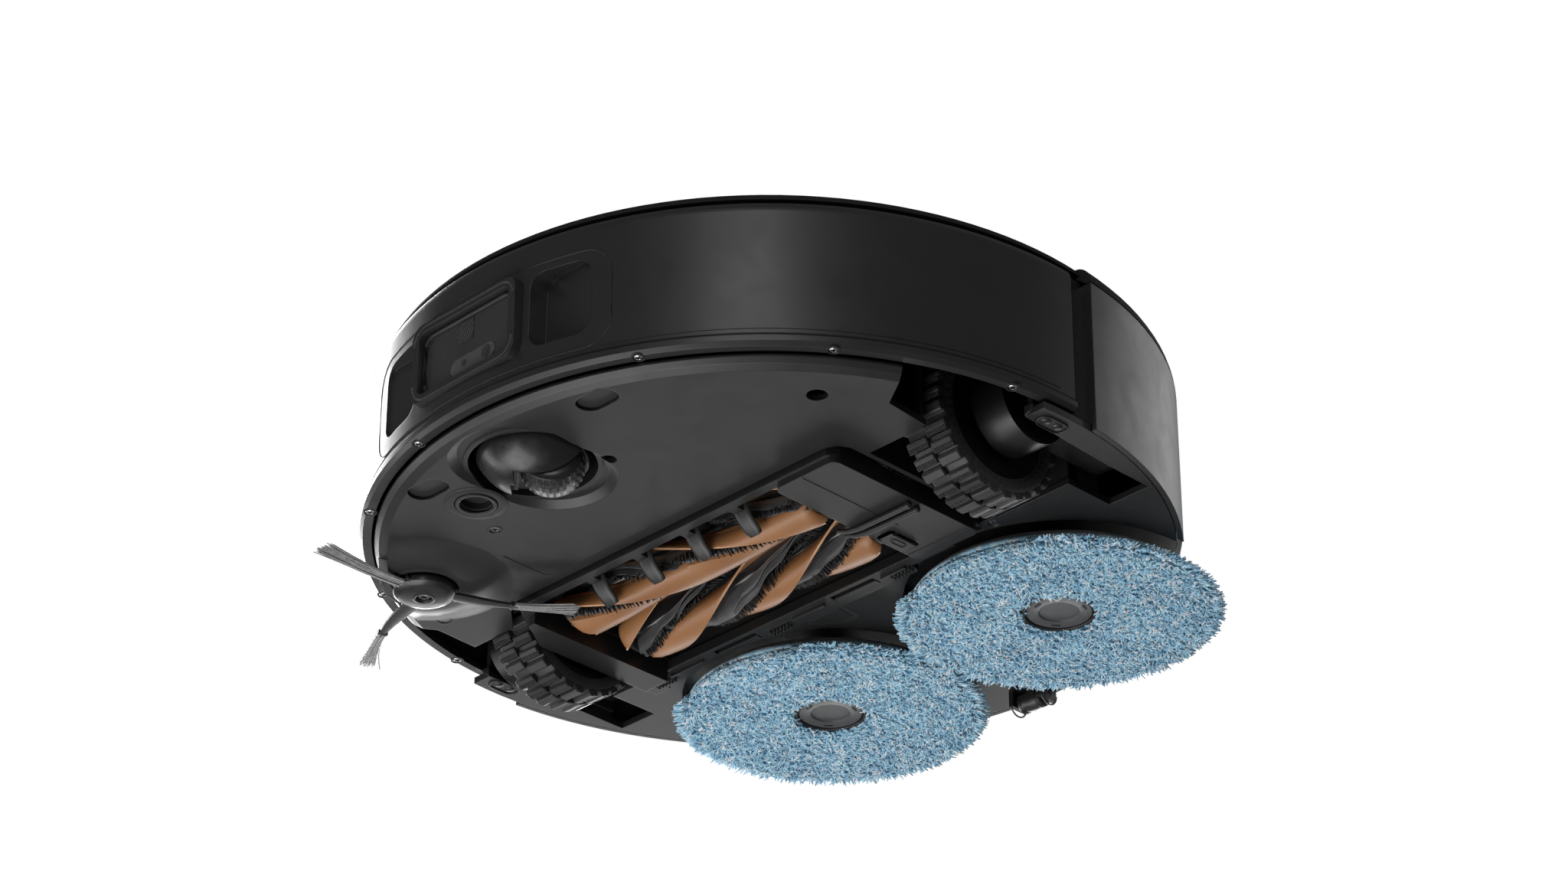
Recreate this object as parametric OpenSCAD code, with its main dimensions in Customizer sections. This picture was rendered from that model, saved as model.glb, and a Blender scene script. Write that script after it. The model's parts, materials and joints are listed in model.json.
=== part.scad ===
// Robot vacuum with two floor rollers, a side brush and two turning mop pads.
// Millimetres, +Z up, front towards -Y, so the robot's own left is +X.
// The origin is under the middle of the body, on the plane of the lowest point
// of the two hanging drive wheels.

/* [Body] */
// Radius of the bumper's wall
bumper_r = 175; // [173:0.5:177]
// Radius of the rear body's wall
rear_r = 178; // [177:0.5:180]
// Height from the underside to the top
body_h = 80; // [78:1:90]
// Height of the underside above the lowest point of the hanging wheels
ride_h = 21; // [21:0.5:24]
// Thickness of the moulded shells
wall = 2.4; // [1.6:0.1:2.6]

/* [Drive wheels] */
// Diameter of a drive wheel over its tread
wheel_d = 72; // [66:1:72]
// Width of a drive wheel
wheel_w = 23; // [20:1:23]
// Distance of a wheel's middle from the body's middle
wheel_x = 127; // [127:0.5:128]
// How far the suspension lets a wheel rise, in degrees of its arm
arm_swing = 15; // [8:1:16]

/* [Floor rollers] */
// Radius over the fins of a floor roller
roller_r = 18; // [15:0.5:18]
// Length of a floor roller's fins
roller_len = 149; // [140:1:150]
// Number of soft fins on each roller
fins = 4; // [2:1:5]

/* [Mop pads] */
// Radius of a mop pad's backing
pad_r = 66; // [60:1:66]
// Distance of a mop pad's middle from the body's middle plane
pad_x = 70; // [69:0.5:72]
// Height of a mop pad's fabric
pad_h = 7; // [5:0.5:7]
// How far the mop pads are lifted clear of a carpet
pad_lift = 7; // [3:1:7]

/* [Side brush] */
// Length of the side brush's longest arm, from its axis
side_reach = 78; // [60:1:80]

/* [Top] */
// Radius of the laser scanner's turret
turret_r = 38; // [32:1:40]
// How far the turret rises out of the top
turret_rise = 22; // [10:1:25]
// Radius of a top button
button_r = 8; // [6:0.5:9]

/* [Hidden] */
$fn = 96;
eps = 0.01;
fit = 0.05;                         // radial clearance of a running shaft

under_z = ride_h;                   // the body's flat underside
plate_t = 3;                        // thickness of the base plate
plate_z = under_z + plate_t;        // inner face of the base plate
top_z = under_z + body_h;           // the highest point of the body
floor_z = under_z - 11;             // plane of the pads and the caster, where they meet the floor
split_y = 12;                       // where the rear body starts, behind the bumper's ends

// Front of the body, behind the bumper
nose_r = 164;                       // edge of the flat underside
lip_r = 169.5;                      // outer edge of the turned-up lip
lip_z = under_z + 4.8;              // top of the lip
bumper_gap = 0.4;                   // height of the slit between the lip and the bumper
frame_y = -84;                      // the front frame's wall stands ahead of this line
frame_r = 163;                      // outer face of the front frame

// Bumper
bumper_z = lip_z + bumper_gap;      // its bottom edge
bumper_top = top_z - 5;             // its rounded top edge
bumper_in = bumper_r - 3;           // inner face of its wall
bay_w = 64;                         // width of the sensor window's frame
bay_z0 = under_z + 19;              // lowest edge of the sensor window's frame
bay_z1 = under_z + 57;              // highest edge of the sensor window's frame
pocket_back_y = -162;               // floor of the line lasers' pockets
screw_ring_r = 172.9;
bumper_screw_angles = [-80, -57, -32, -11, 28, 54, 80];

// Floor rollers
roller_z = under_z + 9;             // height of both axes
roller_mid_x = -19.5;               // middle of the rollers' length
front_roller_y = -26.8;
rear_roller_y = 9.8;
core_r = 8;
roller_shaft_r = 3;
roller_x0 = roller_mid_x - roller_len / 2;
roller_x1 = roller_mid_x + roller_len / 2;

// Four equal gears from roller to roller: two on the rollers, an idler and the motor's pinion
gear_teeth = 24;
gear_r = 9.1;                       // pitch radius
gear_x = roller_x1 + 8;
gear_w = 5;
idler_y = (front_roller_y + rear_roller_y) / 2 - gear_r;
pinion_y = (front_roller_y + rear_roller_y) / 2 + gear_r;
idler_z = roller_z + sqrt(4 * gear_r * gear_r - pow(idler_y - front_roller_y, 2));
pitch_angle = 360 / gear_teeth;
line_angle = atan2(idler_z - roller_z, idler_y - front_roller_y);
idler_turn = mesh_turn(0, line_angle);
pinion_turn = mesh_turn(idler_turn, 0);
rear_turn = mesh_turn(pinion_turn, -line_angle);

// How far a gear turns so that its teeth meet the gaps of a gear turned by t,
// when the line from that gear to this one stands at angle a
function mesh_turn(t, a) = 2 * a - t + pitch_angle / 2;

// Places on the base plate
pillars = [[-84, -118], [70, -120], [-70, -138], [60, 60], [-60, 60], [0, 60], [88, -62]];
base_screw_spots = [[-119, 45.5], [94, 40.5], [-59, -105], [-137, -66]];
carpet_x = -47;                     // the ultrasonic carpet sensor
carpet_y = -126;

// Brush guard
guard_z0 = under_z - 2.5;
guard_z1 = under_z + 2.6;
guard_x0 = roller_x0 - 20;          // its end beside the right wheel
guard_x1 = roller_x1 + 37;          // its end beside the left wheel well
gear_box_z = under_z - 6;           // lower face over the gears
end_z = under_z - 8;                // lower face of the end beside the right wheel
latch_spots = [-59, 14];
tooth_spots = [-60, -30.5, -1, 28.5];
release_x = 62.5;                   // middle of the release button

// Brush bay in the underside
bay_x0 = -124;
bay_x1 = 96.5;
bay_y0 = -55.5;
bay_y1 = 41;
well_x0 = 97;                       // inner wall of the left wheel well

// Drive wheels and their arms
well_z = under_z + 67;              // roof of the wells
axle_y = -4;
axle_z = wheel_d / 2;
pivot_y = 50;
pivot_z = 40;
arm_x0 = wheel_x + wheel_w / 2 + 2.5;   // inner face of the arm
arm_x1 = arm_x0 + 17;                   // outer face of the arm
axle_r = 4;
pivot_r = 4;

// Mop drives
pad_y = 108;
pad_top = floor_z + pad_h;
hub_hole_r = 14;
pocket_r = pad_r + 1.6;
pocket_z = under_z + 8;
shaft_r = 5;

// Tail roller
tail_y = 168;
tail_z = under_z - 5.5;
tail_r = 4.8;
tail_axle_r = 1.2;

// Caster
caster_x = -8;
caster_y = -129;
caster_well_r = 27;
caster_wheel_r = 14;
caster_axle_z = floor_z + caster_wheel_r;
caster_axle_x = caster_x + 6;
caster_axle_y = caster_y + 5;

// Side brush
brush_x = -114;
brush_y = -97;

// Inside
deck_z = under_z + 42;              // underside of the inner deck
deck_t = 2;
turret_y = -15;
top_posts = [[88, -64], [-88, -66], [88, 28], [-42.5, 24]];
lid_r = 150;
lid_y = 34;                         // straight front edge of the lid

BLACK = [0.06, 0.06, 0.065];
CHARCOAL = [0.13, 0.13, 0.14];
GREY = [0.35, 0.35, 0.37];
COPPER = [0.72, 0.43, 0.27];
PAD_BLUE = [0.45, 0.70, 0.83];
STEEL = [0.75, 0.75, 0.77];

// ---- shared shapes ----

// A square-cornered box between two corners
module block(a, b) {
    translate(a) cube(b - a);
}

// A flat rectangle with round corners, from corner a to corner b
module rounded(a, b, r) {
    translate([a.x + r, a.y]) square([b.x - a.x - 2 * r, b.y - a.y]);
    translate([a.x, a.y + r]) square([b.x - a.x, b.y - a.y - 2 * r]);
    for (x = [a.x + r, b.x - r], y = [a.y + r, b.y - r]) translate([x, y]) circle(r, $fn = 48);
}

// A rounded rectangle raised from z0 to z1
module slab(a, b, r, z0, z1) {
    translate([0, 0, z0]) linear_extrude(z1 - z0) rounded(a, b, r);
}

// A cylinder between two heights
module post(x, y, r, z0, z1) {
    translate([x, y, z0]) cylinder(r = r, h = z1 - z0);
}

// A cylinder along X
module rod(x0, x1, y, z, r) {
    translate([x0, y, z]) rotate([0, 90, 0]) cylinder(r = r, h = x1 - x0);
}

// A ring with square edges
module ring(x, y, r0, r1, z0, z1) {
    translate([x, y, z0]) difference() {
        cylinder(r = r1, h = z1 - z0);
        translate([0, 0, -1]) cylinder(r = r0, h = z1 - z0 + 2);
    }
}

// The half-space ahead of a line across the body, or behind it
module ahead(y) {
    block([-300, -300, -50], [300, y, 200]);
}
module behind(y) {
    block([-300, y, -50], [300, 300, 200]);
}

// A pair of mirrored copies, left and right
module both() {
    children();
    mirror([1, 0, 0]) children();
}

// A pan-head screw seen from below, its head's face at height z
module screw_up(x, y, z, r = 2.6, l = 8) {
    translate([x, y, z]) difference() {
        union() {
            cylinder(r = r, h = 1.4);
            cylinder(r = r / 2, h = l);
        }
        translate([-r * 0.6, -0.3, -eps]) cube([r * 1.2, 0.6, 0.8]);
        translate([-0.3, -r * 0.6, -eps]) cube([0.6, r * 1.2, 0.8]);
    }
}

// A coil spring along +Z, made as a twisted round wire
module coil(r, wire, h, turns) {
    linear_extrude(height = h, twist = -360 * turns, slices = turns * 12, segments = 6, $fn = 0)
        translate([r, 0]) circle(wire, $fn = 6);
}

// ---- outlines in plan ----

// The flat underside, front part inside the lip and rear part inside the wall
module underside_outline() {
    intersection() {
        circle(nose_r, $fn = 180);
        translate([-200, -200]) square([400, 200 + split_y]);
    }
    intersection() {
        circle(rear_r - wall - 0.4, $fn = 180);
        translate([-200, -16]) square([400, 300]);
    }
}

// Opening of a wheel well on the +X side, its front edge set by two points
module wheel_opening(front) {
    polygon(concat([[99, -39.5]], front, [[157, -78], [190, -78], [190, -16.5], [164, -16.5],
                   [161, 37.5], [161, 63], [139.5, 63], [139.5, 37.5], [99, 37.5]]));
}

// Opening that takes the rollers and their guard
module bay_opening() {
    polygon([[bay_x0, -37], [bay_x0, 36], [-101, 36], [-101, bay_y1], [88, bay_y1], [88, 36],
             [bay_x1, 36], [bay_x1, -48], [94, -53], [88.5, bay_y0], [-105, bay_y0]]);
}

// Openings for everything that reaches through the underside
module underside_openings() {
    wheel_opening([[131, -39.5], [133, -63]]);
    mirror([1, 0]) wheel_opening([[147, -39.5], [146, -62]]);
    bay_opening();
    translate([caster_x, caster_y]) circle(caster_well_r);
    translate([brush_x, brush_y]) circle(9);
    both() translate([pad_x, pad_y]) circle(pocket_r);
    translate([carpet_x, carpet_y]) circle(11);
    translate([19.5, -112]) circle(3.5);
    translate([117, -88]) circle(4.5);
    both() rounded([163.5, -12], [171.5, 4], 3.5);
}

// ---- fixed body ----

module base_plate() {
    color(CHARCOAL) {
        difference() {
            union() {
                translate([0, 0, under_z]) linear_extrude(plate_t) underside_outline();
                // turned-up lip of the nose
                difference() {
                    rotate_extrude($fn = 180) polygon([
                        [nose_r - 3, under_z], [nose_r, under_z], [nose_r + 3.5, under_z + 1.6],
                        [lip_r, under_z + 3.6], [lip_r, lip_z], [nose_r - 3, lip_z]
                    ]);
                    behind(-16);
                }
                // upright wall of the nose, behind the bumper
                difference() {
                    ring(0, 0, frame_r - 2, frame_r, plate_z - 1, top_z - 6, $fn = 180);
                    behind(frame_y);
                    block([-69, -200, bay_z0 - 4], [69, -100, bay_z1 + 4]);
                }
                // swollen housing round the side brush
                side_brush_pod();
                // roof and rim of the mop pockets
                intersection() {
                    union() {
                        both() ring(pad_x, pad_y, pocket_r, pocket_r + 2, under_z, pocket_z + 2);
                        both() ring(pad_x, pad_y, 12, pocket_r + 1, pocket_z, pocket_z + 2);
                    }
                    cylinder(r = rear_r - wall - 0.4, h = 200, $fn = 180);
                }
                wheel_well(well_x0, 131);
                mirror([1, 0, 0]) wheel_well(-roller_x0 + 7.5, 147);
                // inner wall of the left well; the right well borders on the brush housing
                block([well_x0, -43, plate_z - 1], [well_x0 + 2, 39.5, well_z + 2]);
                both() {
                    // ears that hold the arm's pivot
                    block([136, pivot_y - 6, plate_z - 1], [139.4, pivot_y + 6, pivot_z + 7]);
                    block([160.1, pivot_y - 6, plate_z - 1], [163, pivot_y + 6, pivot_z + 7]);
                    // fork of the tail roller
                    block([7, 162, under_z - 8], [9.5, 173, under_z + 1]);
                }
                // pillars that carry the deck and the top
                for (p = pillars) post(p.x, p.y, 4, plate_z - 1, deck_z);
            }
            translate([0, 0, under_z - 1]) linear_extrude(7) underside_openings();
            // seats of the front cliff sensors, through the plate and the nose wall
            both() slab([42, -154], [62, -142], 5.8, under_z - 1, under_z + 8.4);
            for (p = base_screw_spots) {
                post(p.x, p.y, 2.2, under_z - 1, under_z + 1.7);
                post(p.x, p.y, 1.1, under_z - 1, under_z + 9);
            }
            both() post(pad_x, pad_y, pocket_r, under_z - 1, pocket_z);
            // dished surround of the caster
            for (y = [caster_y - 10, caster_y + 10]) {
                translate([caster_x, y, under_z - 0.5]) cylinder(r1 = 28.5, r2 = 24, h = 3);
            }
            translate([brush_x, brush_y, under_z - 6]) cylinder(r = 9, h = 40);
            rod(-164, 164, pivot_y, pivot_z, pivot_r + fit);
            rod(-11, 11, tail_y, tail_z, tail_axle_r + fit);
        }
        // dome over the caster
        caster_socket();
    }
}

// Front wall, rear wall and roof of a wheel well on the +X side
module wheel_well(x0, x1) {
    block([max(x0, x1 - 31), -43, plate_z - 1], [x1, -41, well_z + 2]);
    block([x0, 38, plate_z - 1], [138.5, 39.5, well_z + 2]);
    block([x0, -43, well_z], [164, 39.5, well_z + 2]);
}

// Domed cover over the caster's pivot, open below
module caster_socket() {
    difference() {
        post(caster_x, caster_y, caster_well_r + 2, plate_z - 1, under_z + 38);
        post(caster_x, caster_y, caster_well_r, plate_z - 2, under_z + 29);
        post(caster_x, caster_y, 5 + fit, under_z + 28, under_z + 40);
    }
}

// Smooth swelling of the underside round the side brush
module side_brush_pod() {
    difference() {
        translate([brush_x, brush_y, under_z - 4]) cylinder(r1 = 19, r2 = 27, h = 8);
        translate([brush_x, brush_y, under_z - 4.5]) cylinder(r = 16, h = 6.5);
        ring(0, 0, nose_r + 4, 230, 0, 100, $fn = 180);
        linear_extrude(60) bay_opening();
    }
}

module rear_wall() {
    color(CHARCOAL) difference() {
        union() {
            difference() {
                ring(0, 0, rear_r - wall, rear_r, under_z, top_z - 9.6, $fn = 180);
                ahead(split_y);
            }
            // end faces beside the bumper, and the inner wall that closes the gap
            both() intersection() {
                block([164, split_y, plate_z + 0.3], [190, split_y + 2.5, top_z - 9.6]);
                cylinder(r = rear_r, h = 200, $fn = 180);
            }
            both() intersection() {
                block([150, -15, plate_z + 0.3], [190, split_y + 1, top_z - 9.6]);
                ring(0, 0, 165.5, 168, 0, 200, $fn = 180);
            }
        }
        both() post(pad_x, pad_y, pocket_r + 2.2, under_z - 1, pocket_z + 2.2);
        both() block([18, 150, under_z + 22], [34, 190, under_z + 34]);
    }
}

// Cross-section of the top shell's rim: a quarter round between two heights
function round_corner(r, z, k, n = 8) = [
    for (i = [0:n]) [r - k + k * cos(90 * i / n), z - k + k * sin(90 * i / n)]
];

module top_shell() {
    color(CHARCOAL) difference() {
        union() {
            difference() {
                rotate_extrude($fn = 180) polygon(concat(
                    [[0, top_z - 2.5], [bumper_r - 14, top_z - 2.5], [bumper_r - 10, top_z - 4.6]],
                    round_corner(bumper_r - 3, top_z, 4), [[0, top_z]]
                ));
                behind(split_y);
            }
            difference() {
                rotate_extrude($fn = 180) polygon(concat(
                    [[0, top_z - 2.5], [rear_r - 11, top_z - 2.5], [rear_r - wall, top_z - 9.2]],
                    round_corner(rear_r, top_z, 9), [[0, top_z]]
                ));
                ahead(split_y);
            }
            // guide of the turret and seats of the buttons
            ring(0, turret_y, turret_r + 1.5, turret_r + 3.5, top_z - 16, top_z - 1);
            for (x = [-28, 0, 28]) ring(x, -98, button_r + 0.5, button_r + 2, top_z - 8, top_z - 1);
            // posts that stand on the deck
            for (p = top_posts) post(p.x, p.y, 4, deck_z + deck_t, top_z - 2);
        }
        post(0, turret_y, turret_r + 1.5, top_z - 20, top_z + 1);
        for (x = [-28, 0, 28]) post(x, -98, button_r + 0.5, top_z - 10, top_z + 1);
        translate([0, 0, top_z - 5]) linear_extrude(10) lid_outline(0.6);
    }
    // ledges under the lid
    color(CHARCOAL) {
        block([-70, lid_y - 6, top_z - 4.7], [80, lid_y + 3, top_z - 2.6]);
        block([-24, lid_r - 6, top_z - 4.7], [24, lid_r + 5, top_z - 2.6]);
        block([-70, lid_y - 6, top_z - 3], [80, lid_y - 1.2, top_z - 1.5]);
        block([-24, lid_r + 1.2, top_z - 3], [24, lid_r + 5, top_z - 1.5]);
    }
}

// The lid in plan: a round plate with a straight front edge
module lid_outline(grow) {
    intersection() {
        circle(lid_r + grow, $fn = 180);
        translate([-200, lid_y - grow]) square([400, 300]);
    }
}

module inner_deck() {
    color(GREY) difference() {
        translate([0, 0, deck_z]) linear_extrude(deck_t) intersection() {
            circle(157, $fn = 180);
            union() {
                translate([-95, -145]) square([190, 300]);
                translate([-140, -145]) square([280, 61]);
            }
        }
        post(caster_x, caster_y, 8, deck_z - 1, deck_z + 4);
        both() post(pad_x, pad_y, 20, deck_z - 1, deck_z + 4);
        block([-32, 36, deck_z - 1], [32, 46.5, deck_z + 4]);
        for (p = pillars) post(p.x, p.y, 1.5, deck_z - 1, deck_z + 4);
    }
}

// ---- cleaning drive ----

module brush_housing() {
    x0 = roller_x0 - 7;
    x1 = roller_x1 + 6;
    color(BLACK) difference() {
        block([x0, -53, plate_z], [x1, 37, deck_z - 1]);
        block([x0 + 2, -51, plate_z - 1], [x1 - 2, 35, deck_z - 3]);
        // bearing bores of both rollers
        for (y = [front_roller_y, rear_roller_y]) rod(x0 - 1, x1 + 1, y, roller_z, roller_shaft_r + fit);
        for (y = [idler_y, pinion_y]) rod(x1 - 3, x1 + 1, y, idler_z, 2 + fit);
        block([-30, 30, under_z + 22], [30, 40, under_z + 36]);
    }
}

// A floor roller's core with its shaft and, at the driven end, its gear
module roller_core(y, turn) {
    color(BLACK) {
        rod(roller_x0 - 1, roller_x1 + 1, y, roller_z, core_r);
        rod(roller_x0 - 6.5, roller_x1 + 12, y, roller_z, roller_shaft_r);
        spur(y, roller_z, turn);
    }
}

// A spur gear on an axis along X, turned by a part of a tooth
module spur(y, z, turn) {
    translate([gear_x, y, z]) rotate([0, 90, 0]) rotate(turn) linear_extrude(gear_w) {
        circle(gear_r - 1);
        for (i = [0:gear_teeth - 1]) rotate(360 * i / gear_teeth)
            polygon([[gear_r - 1.6, -0.62], [gear_r + 0.7, -0.3], [gear_r + 0.7, 0.3],
                     [gear_r - 1.6, 0.62]]);
    }
}

module idler_gear() {
    color([0.9, 0.9, 0.86]) {
        spur(idler_y, idler_z, idler_turn);
        rod(gear_x - 3.6, gear_x + gear_w + 2, idler_y, idler_z, 2);
    }
}

module motor_pinion() {
    color([0.9, 0.9, 0.86]) {
        spur(pinion_y, idler_z, pinion_turn);
        rod(gear_x - 3.6, gear_x + gear_w + 9, pinion_y, idler_z, 2);
    }
}

// Soft helical fins, thin blades that sweep round the core: start is the first fin's place at
// the end beside the right wheel, and turn is how far it winds to the gears, both in degrees
module roller_fins(y, start, turn) {
    color(COPPER) translate([roller_x0, y, roller_z]) rotate([0, 90, 0])
        linear_extrude(height = roller_len, twist = -turn, slices = 28, segments = 4, $fn = 0)
            for (i = [0:fins - 1]) rotate(start + 360 * i / fins)
                translate([core_r - 0.6, -0.9]) square([roller_r - core_r + 0.3, 1.8]);
}

module front_roller_core() { roller_core(front_roller_y, 0); }
module rear_roller_core() { roller_core(rear_roller_y, rear_turn); }
module front_roller_fins() { roller_fins(front_roller_y, 32, 182); }
module rear_roller_fins() { roller_fins(rear_roller_y, 67, -235); }

module brush_motor() {
    color(STEEL) difference() {
        rod(gear_x + gear_w + 1, 94, pinion_y, idler_z, 14);
        rod(gear_x, gear_x + gear_w + 10, pinion_y, idler_z, 2 + fit);
    }
}

module brush_guard() {
    color(CHARCOAL) {
        difference() {
            union() {
                translate([0, 0, guard_z0]) linear_extrude(guard_z1 - guard_z0) polygon([
                    [guard_x0, -36], [-101, -54], [guard_x1 - 4, -54], [guard_x1, -50],
                    [guard_x1, 34.5], [72, 34.5], [72, 40], [-100.5, 40], [-100.5, 34.5],
                    [guard_x0, 34.5]
                ]);
                // box over the gears
                slab([roller_x1 + 1.5, -53], [guard_x1, 34], 4, gear_box_z, guard_z0 + 1);
                // end beside the right wheel
                translate([0, 0, end_z]) linear_extrude(guard_z0 - end_z + 1) polygon([
                    [guard_x0, 34], [guard_x0, -30], [-103, -46], [roller_x0 - 5.5, -46],
                    [roller_x0 - 5.5, 34]
                ]);
                // rear strip with its latches
                slab([guard_x0, 36], [46, 45.5], 1, guard_z0, guard_z0 + 2.2);
            }
            block([roller_x0 - 5.5, -49.5, 0], [roller_x1 + 1.5, 33.5, 60]);
            // room for the gears and for the release button
            block([roller_x1, -38, gear_box_z + 2], [roller_x1 + 17, 21, 60]);
            slab([release_x - 4.8, 6], [release_x + 4.8, 24], 2, gear_box_z - 1, guard_z1 + 1);
            for (x = latch_spots)
                slab([x - 13, 35.8], [x + 13, 41.4], 0.5, guard_z0 - 1, guard_z1 + 1);
            both() post(pad_x, pad_y, pocket_r, guard_z0 - 1, guard_z1 + 1);
        }
        for (x = tooth_spots) guard_tooth(x);
    }
}

// A curved finger that hooks under the front roller
module guard_tooth(x) {
    intersection() {
        difference() {
            rod(x - 2.6, x + 2.6, front_roller_y, roller_z, roller_r + 3.4);
            rod(x - 4, x + 4, front_roller_y, roller_z, roller_r + 0.9);
        }
        translate([x - 5, front_roller_y, roller_z]) rotate([90, 0, 90]) linear_extrude(10)
            polygon([[0, 0], [-13, -26], [-24, -26], [-24, -9]]);
    }
    block([x - 2.6, -51, guard_z0], [x + 2.6, -45.6, guard_z0 + 2.4]);
}

module guard_latch() {
    color(BLACK) for (x = latch_spots)
        slab([x - 12.5, 38.4], [x + 12.5, 41], 0.4, guard_z0 - 0.2, guard_z0 + 2);
}

module release_button() {
    color(CHARCOAL) slab([release_x - 4.4, 6.4], [release_x + 4.4, 23.6], 1.7, gear_box_z - 0.6,
                         gear_box_z + 2.2);
}

// ---- side brush ----

module side_brush_motor() {
    color(STEEL) {
        post(brush_x, brush_y, 10.5, under_z + 8, under_z + 34);
        post(brush_x, brush_y, 3, under_z - 4, under_z + 8);
    }
}

module side_brush_hub() {
    color(BLACK) difference() {
        union() {
            translate([brush_x, brush_y, under_z - 9.5]) cylinder(r1 = 11, r2 = 14, h = 3);
            post(brush_x, brush_y, 14, under_z - 6.5, under_z - 0.4);
        }
        post(brush_x, brush_y, 3 + fit, under_z - 4.4, under_z + 3);
        post(brush_x, brush_y, 3.4, under_z - 10, under_z - 8);
    }
}

// Directions and lengths of the three arms, in degrees and as a share of the reach
side_arms = [[166, 1], [283, 0.9], [52, 0.8]];

// Rubber straps at the root of each arm
module side_brush_arms() {
    color(BLACK) for (a = side_arms) translate([brush_x, brush_y, floor_z + 3]) rotate(a[0])
        block([14.2, -3, 0], [side_reach * a[1] * 0.5, 3, 3.2]);
}

// Flat bundles of bristles past the straps
module side_brush_bristles() {
    color(GREY) for (a = side_arms) translate([brush_x, brush_y, floor_z + 1.5]) rotate(a[0])
        block([side_reach * a[1] * 0.5, -4, 0], [side_reach * a[1], 4, 3.4]);
}

// ---- mop drives ----

module mop_lift_frame() {
    color(GREY) {
        both() ring(pad_x, pad_y, shaft_r + fit, 11, under_z + 0.8, under_z + 22);
        both() post(pad_x, pad_y, 17.5, under_z + 22, under_z + 34);
        block([-pad_x, pad_y - 8, under_z + 25], [pad_x, pad_y + 8, under_z + 31]);
    }
}

module mop_plate(side) {
    color(BLACK) {
        difference() {
            post(side * pad_x, pad_y, pad_r - 4, pad_top, pad_top + 2.4);
            post(side * pad_x, pad_y, hub_hole_r - 2, pad_top - 1, pad_top + 0.8);
        }
        post(side * pad_x, pad_y, shaft_r, pad_top + 2, under_z + 21.5);
    }
}

module mop_pad(side) {
    color(PAD_BLUE) ring(side * pad_x, pad_y, hub_hole_r, pad_r, floor_z, pad_top);
}

module mop_plate_left() { mop_plate(1); }
module mop_plate_right() { mop_plate(-1); }
module mop_pad_left() { mop_pad(1); }
module mop_pad_right() { mop_pad(-1); }

// ---- drive wheels ----

module wheel_arm(side) {
    color(BLACK) mirror([side < 0 ? 1 : 0, 0, 0]) difference() {
        union() {
            rod(arm_x0, arm_x1, axle_y, axle_z, 19);
            rod(arm_x0, arm_x1, pivot_y, pivot_z, 10);
            rod(arm_x0 - 3.4, arm_x1 + 3.4, pivot_y, pivot_z, pivot_r);
            block([arm_x0, axle_y, axle_z - 6], [arm_x1, pivot_y, pivot_z + 7]);
        }
        rod(arm_x0 - 1, arm_x0 + 12, axle_y, axle_z, axle_r + fit);
        block([arm_x0 + 3, axle_y + 9, axle_z - 2], [arm_x1 + 1, pivot_y - 12, axle_z + 9]);
    }
}

module wheel_motor(side) {
    color(STEEL) mirror([side < 0 ? 1 : 0, 0, 0])
        translate([(arm_x0 + arm_x1) / 2, axle_y + 10, axle_z + 3.5]) rotate([-90, 0, 0])
            cylinder(r = 5, h = 24);
}

module arm_spring(side) {
    color(STEEL) mirror([side < 0 ? 1 : 0, 0, 0])
        translate([(arm_x0 + arm_x1) / 2, 26, pivot_z + 7]) coil(5, 0.7, 40.9, 7);
}

module wheel_hub(side) {
    color(GREY) mirror([side < 0 ? 1 : 0, 0, 0]) {
        difference() {
            rod(wheel_x - wheel_w / 2 + 1, wheel_x + wheel_w / 2 - 1, axle_y, axle_z, wheel_d / 2 - 9);
            rod(wheel_x - wheel_w / 2, wheel_x - wheel_w / 2 + 5, axle_y, axle_z, wheel_d / 2 - 12);
        }
        rod(wheel_x, arm_x0 + 11, axle_y, axle_z, axle_r);
    }
}

module tyre(side) {
    ribs = 24;
    color(BLACK) mirror([side < 0 ? 1 : 0, 0, 0])
        translate([wheel_x - wheel_w / 2, axle_y, axle_z]) rotate([0, 90, 0]) linear_extrude(wheel_w)
            difference() {
                circle(wheel_d / 2);
                circle(wheel_d / 2 - 9);
                for (i = [0:ribs - 1]) rotate(360 * i / ribs)
                    translate([wheel_d / 2 - 2.6, -1.3]) square([5, 2.6]);
            }
}

module wheel_arm_left() { wheel_arm(1); }
module wheel_arm_right() { wheel_arm(-1); }
module wheel_motor_left() { wheel_motor(1); }
module wheel_motor_right() { wheel_motor(-1); }
module arm_spring_left() { arm_spring(1); }
module arm_spring_right() { arm_spring(-1); }
module wheel_hub_left() { wheel_hub(1); }
module wheel_hub_right() { wheel_hub(-1); }
module tyre_left() { tyre(1); }
module tyre_right() { tyre(-1); }

// ---- caster and tail roller ----

module caster_fork() {
    color(BLACK) difference() {
        union() {
            post(caster_x, caster_y, 5, under_z + 20, under_z + 38);
            translate([caster_x, caster_y, under_z + 14]) cylinder(r1 = 24, r2 = 12, h = 12.5);
            post(caster_x, caster_y, 24, under_z + 2, under_z + 14);
            translate([caster_x, caster_y, under_z - 5]) cylinder(r1 = 19, r2 = 24, h = 7);
        }
        translate([caster_axle_x, caster_axle_y, caster_axle_z]) rotate(-45) {
            block([-9.4, -15, -20], [9.4, 20, 15]);
            rod(-13, 13, 0, 0, 1.5 + fit);
        }
    }
}

module caster_wheel() {
    color(BLACK) translate([caster_axle_x, caster_axle_y, caster_axle_z]) rotate(-45) {
        rod(-8.8, 8.8, 0, 0, caster_wheel_r);
        rod(-12.5, 12.5, 0, 0, 1.5);
    }
}

module tail_roller() {
    color(BLACK) {
        rod(-6.6, 6.6, tail_y, tail_z, tail_r);
        rod(-9.3, 9.3, tail_y, tail_z, tail_axle_r);
    }
}

// ---- bumper ----

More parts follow.
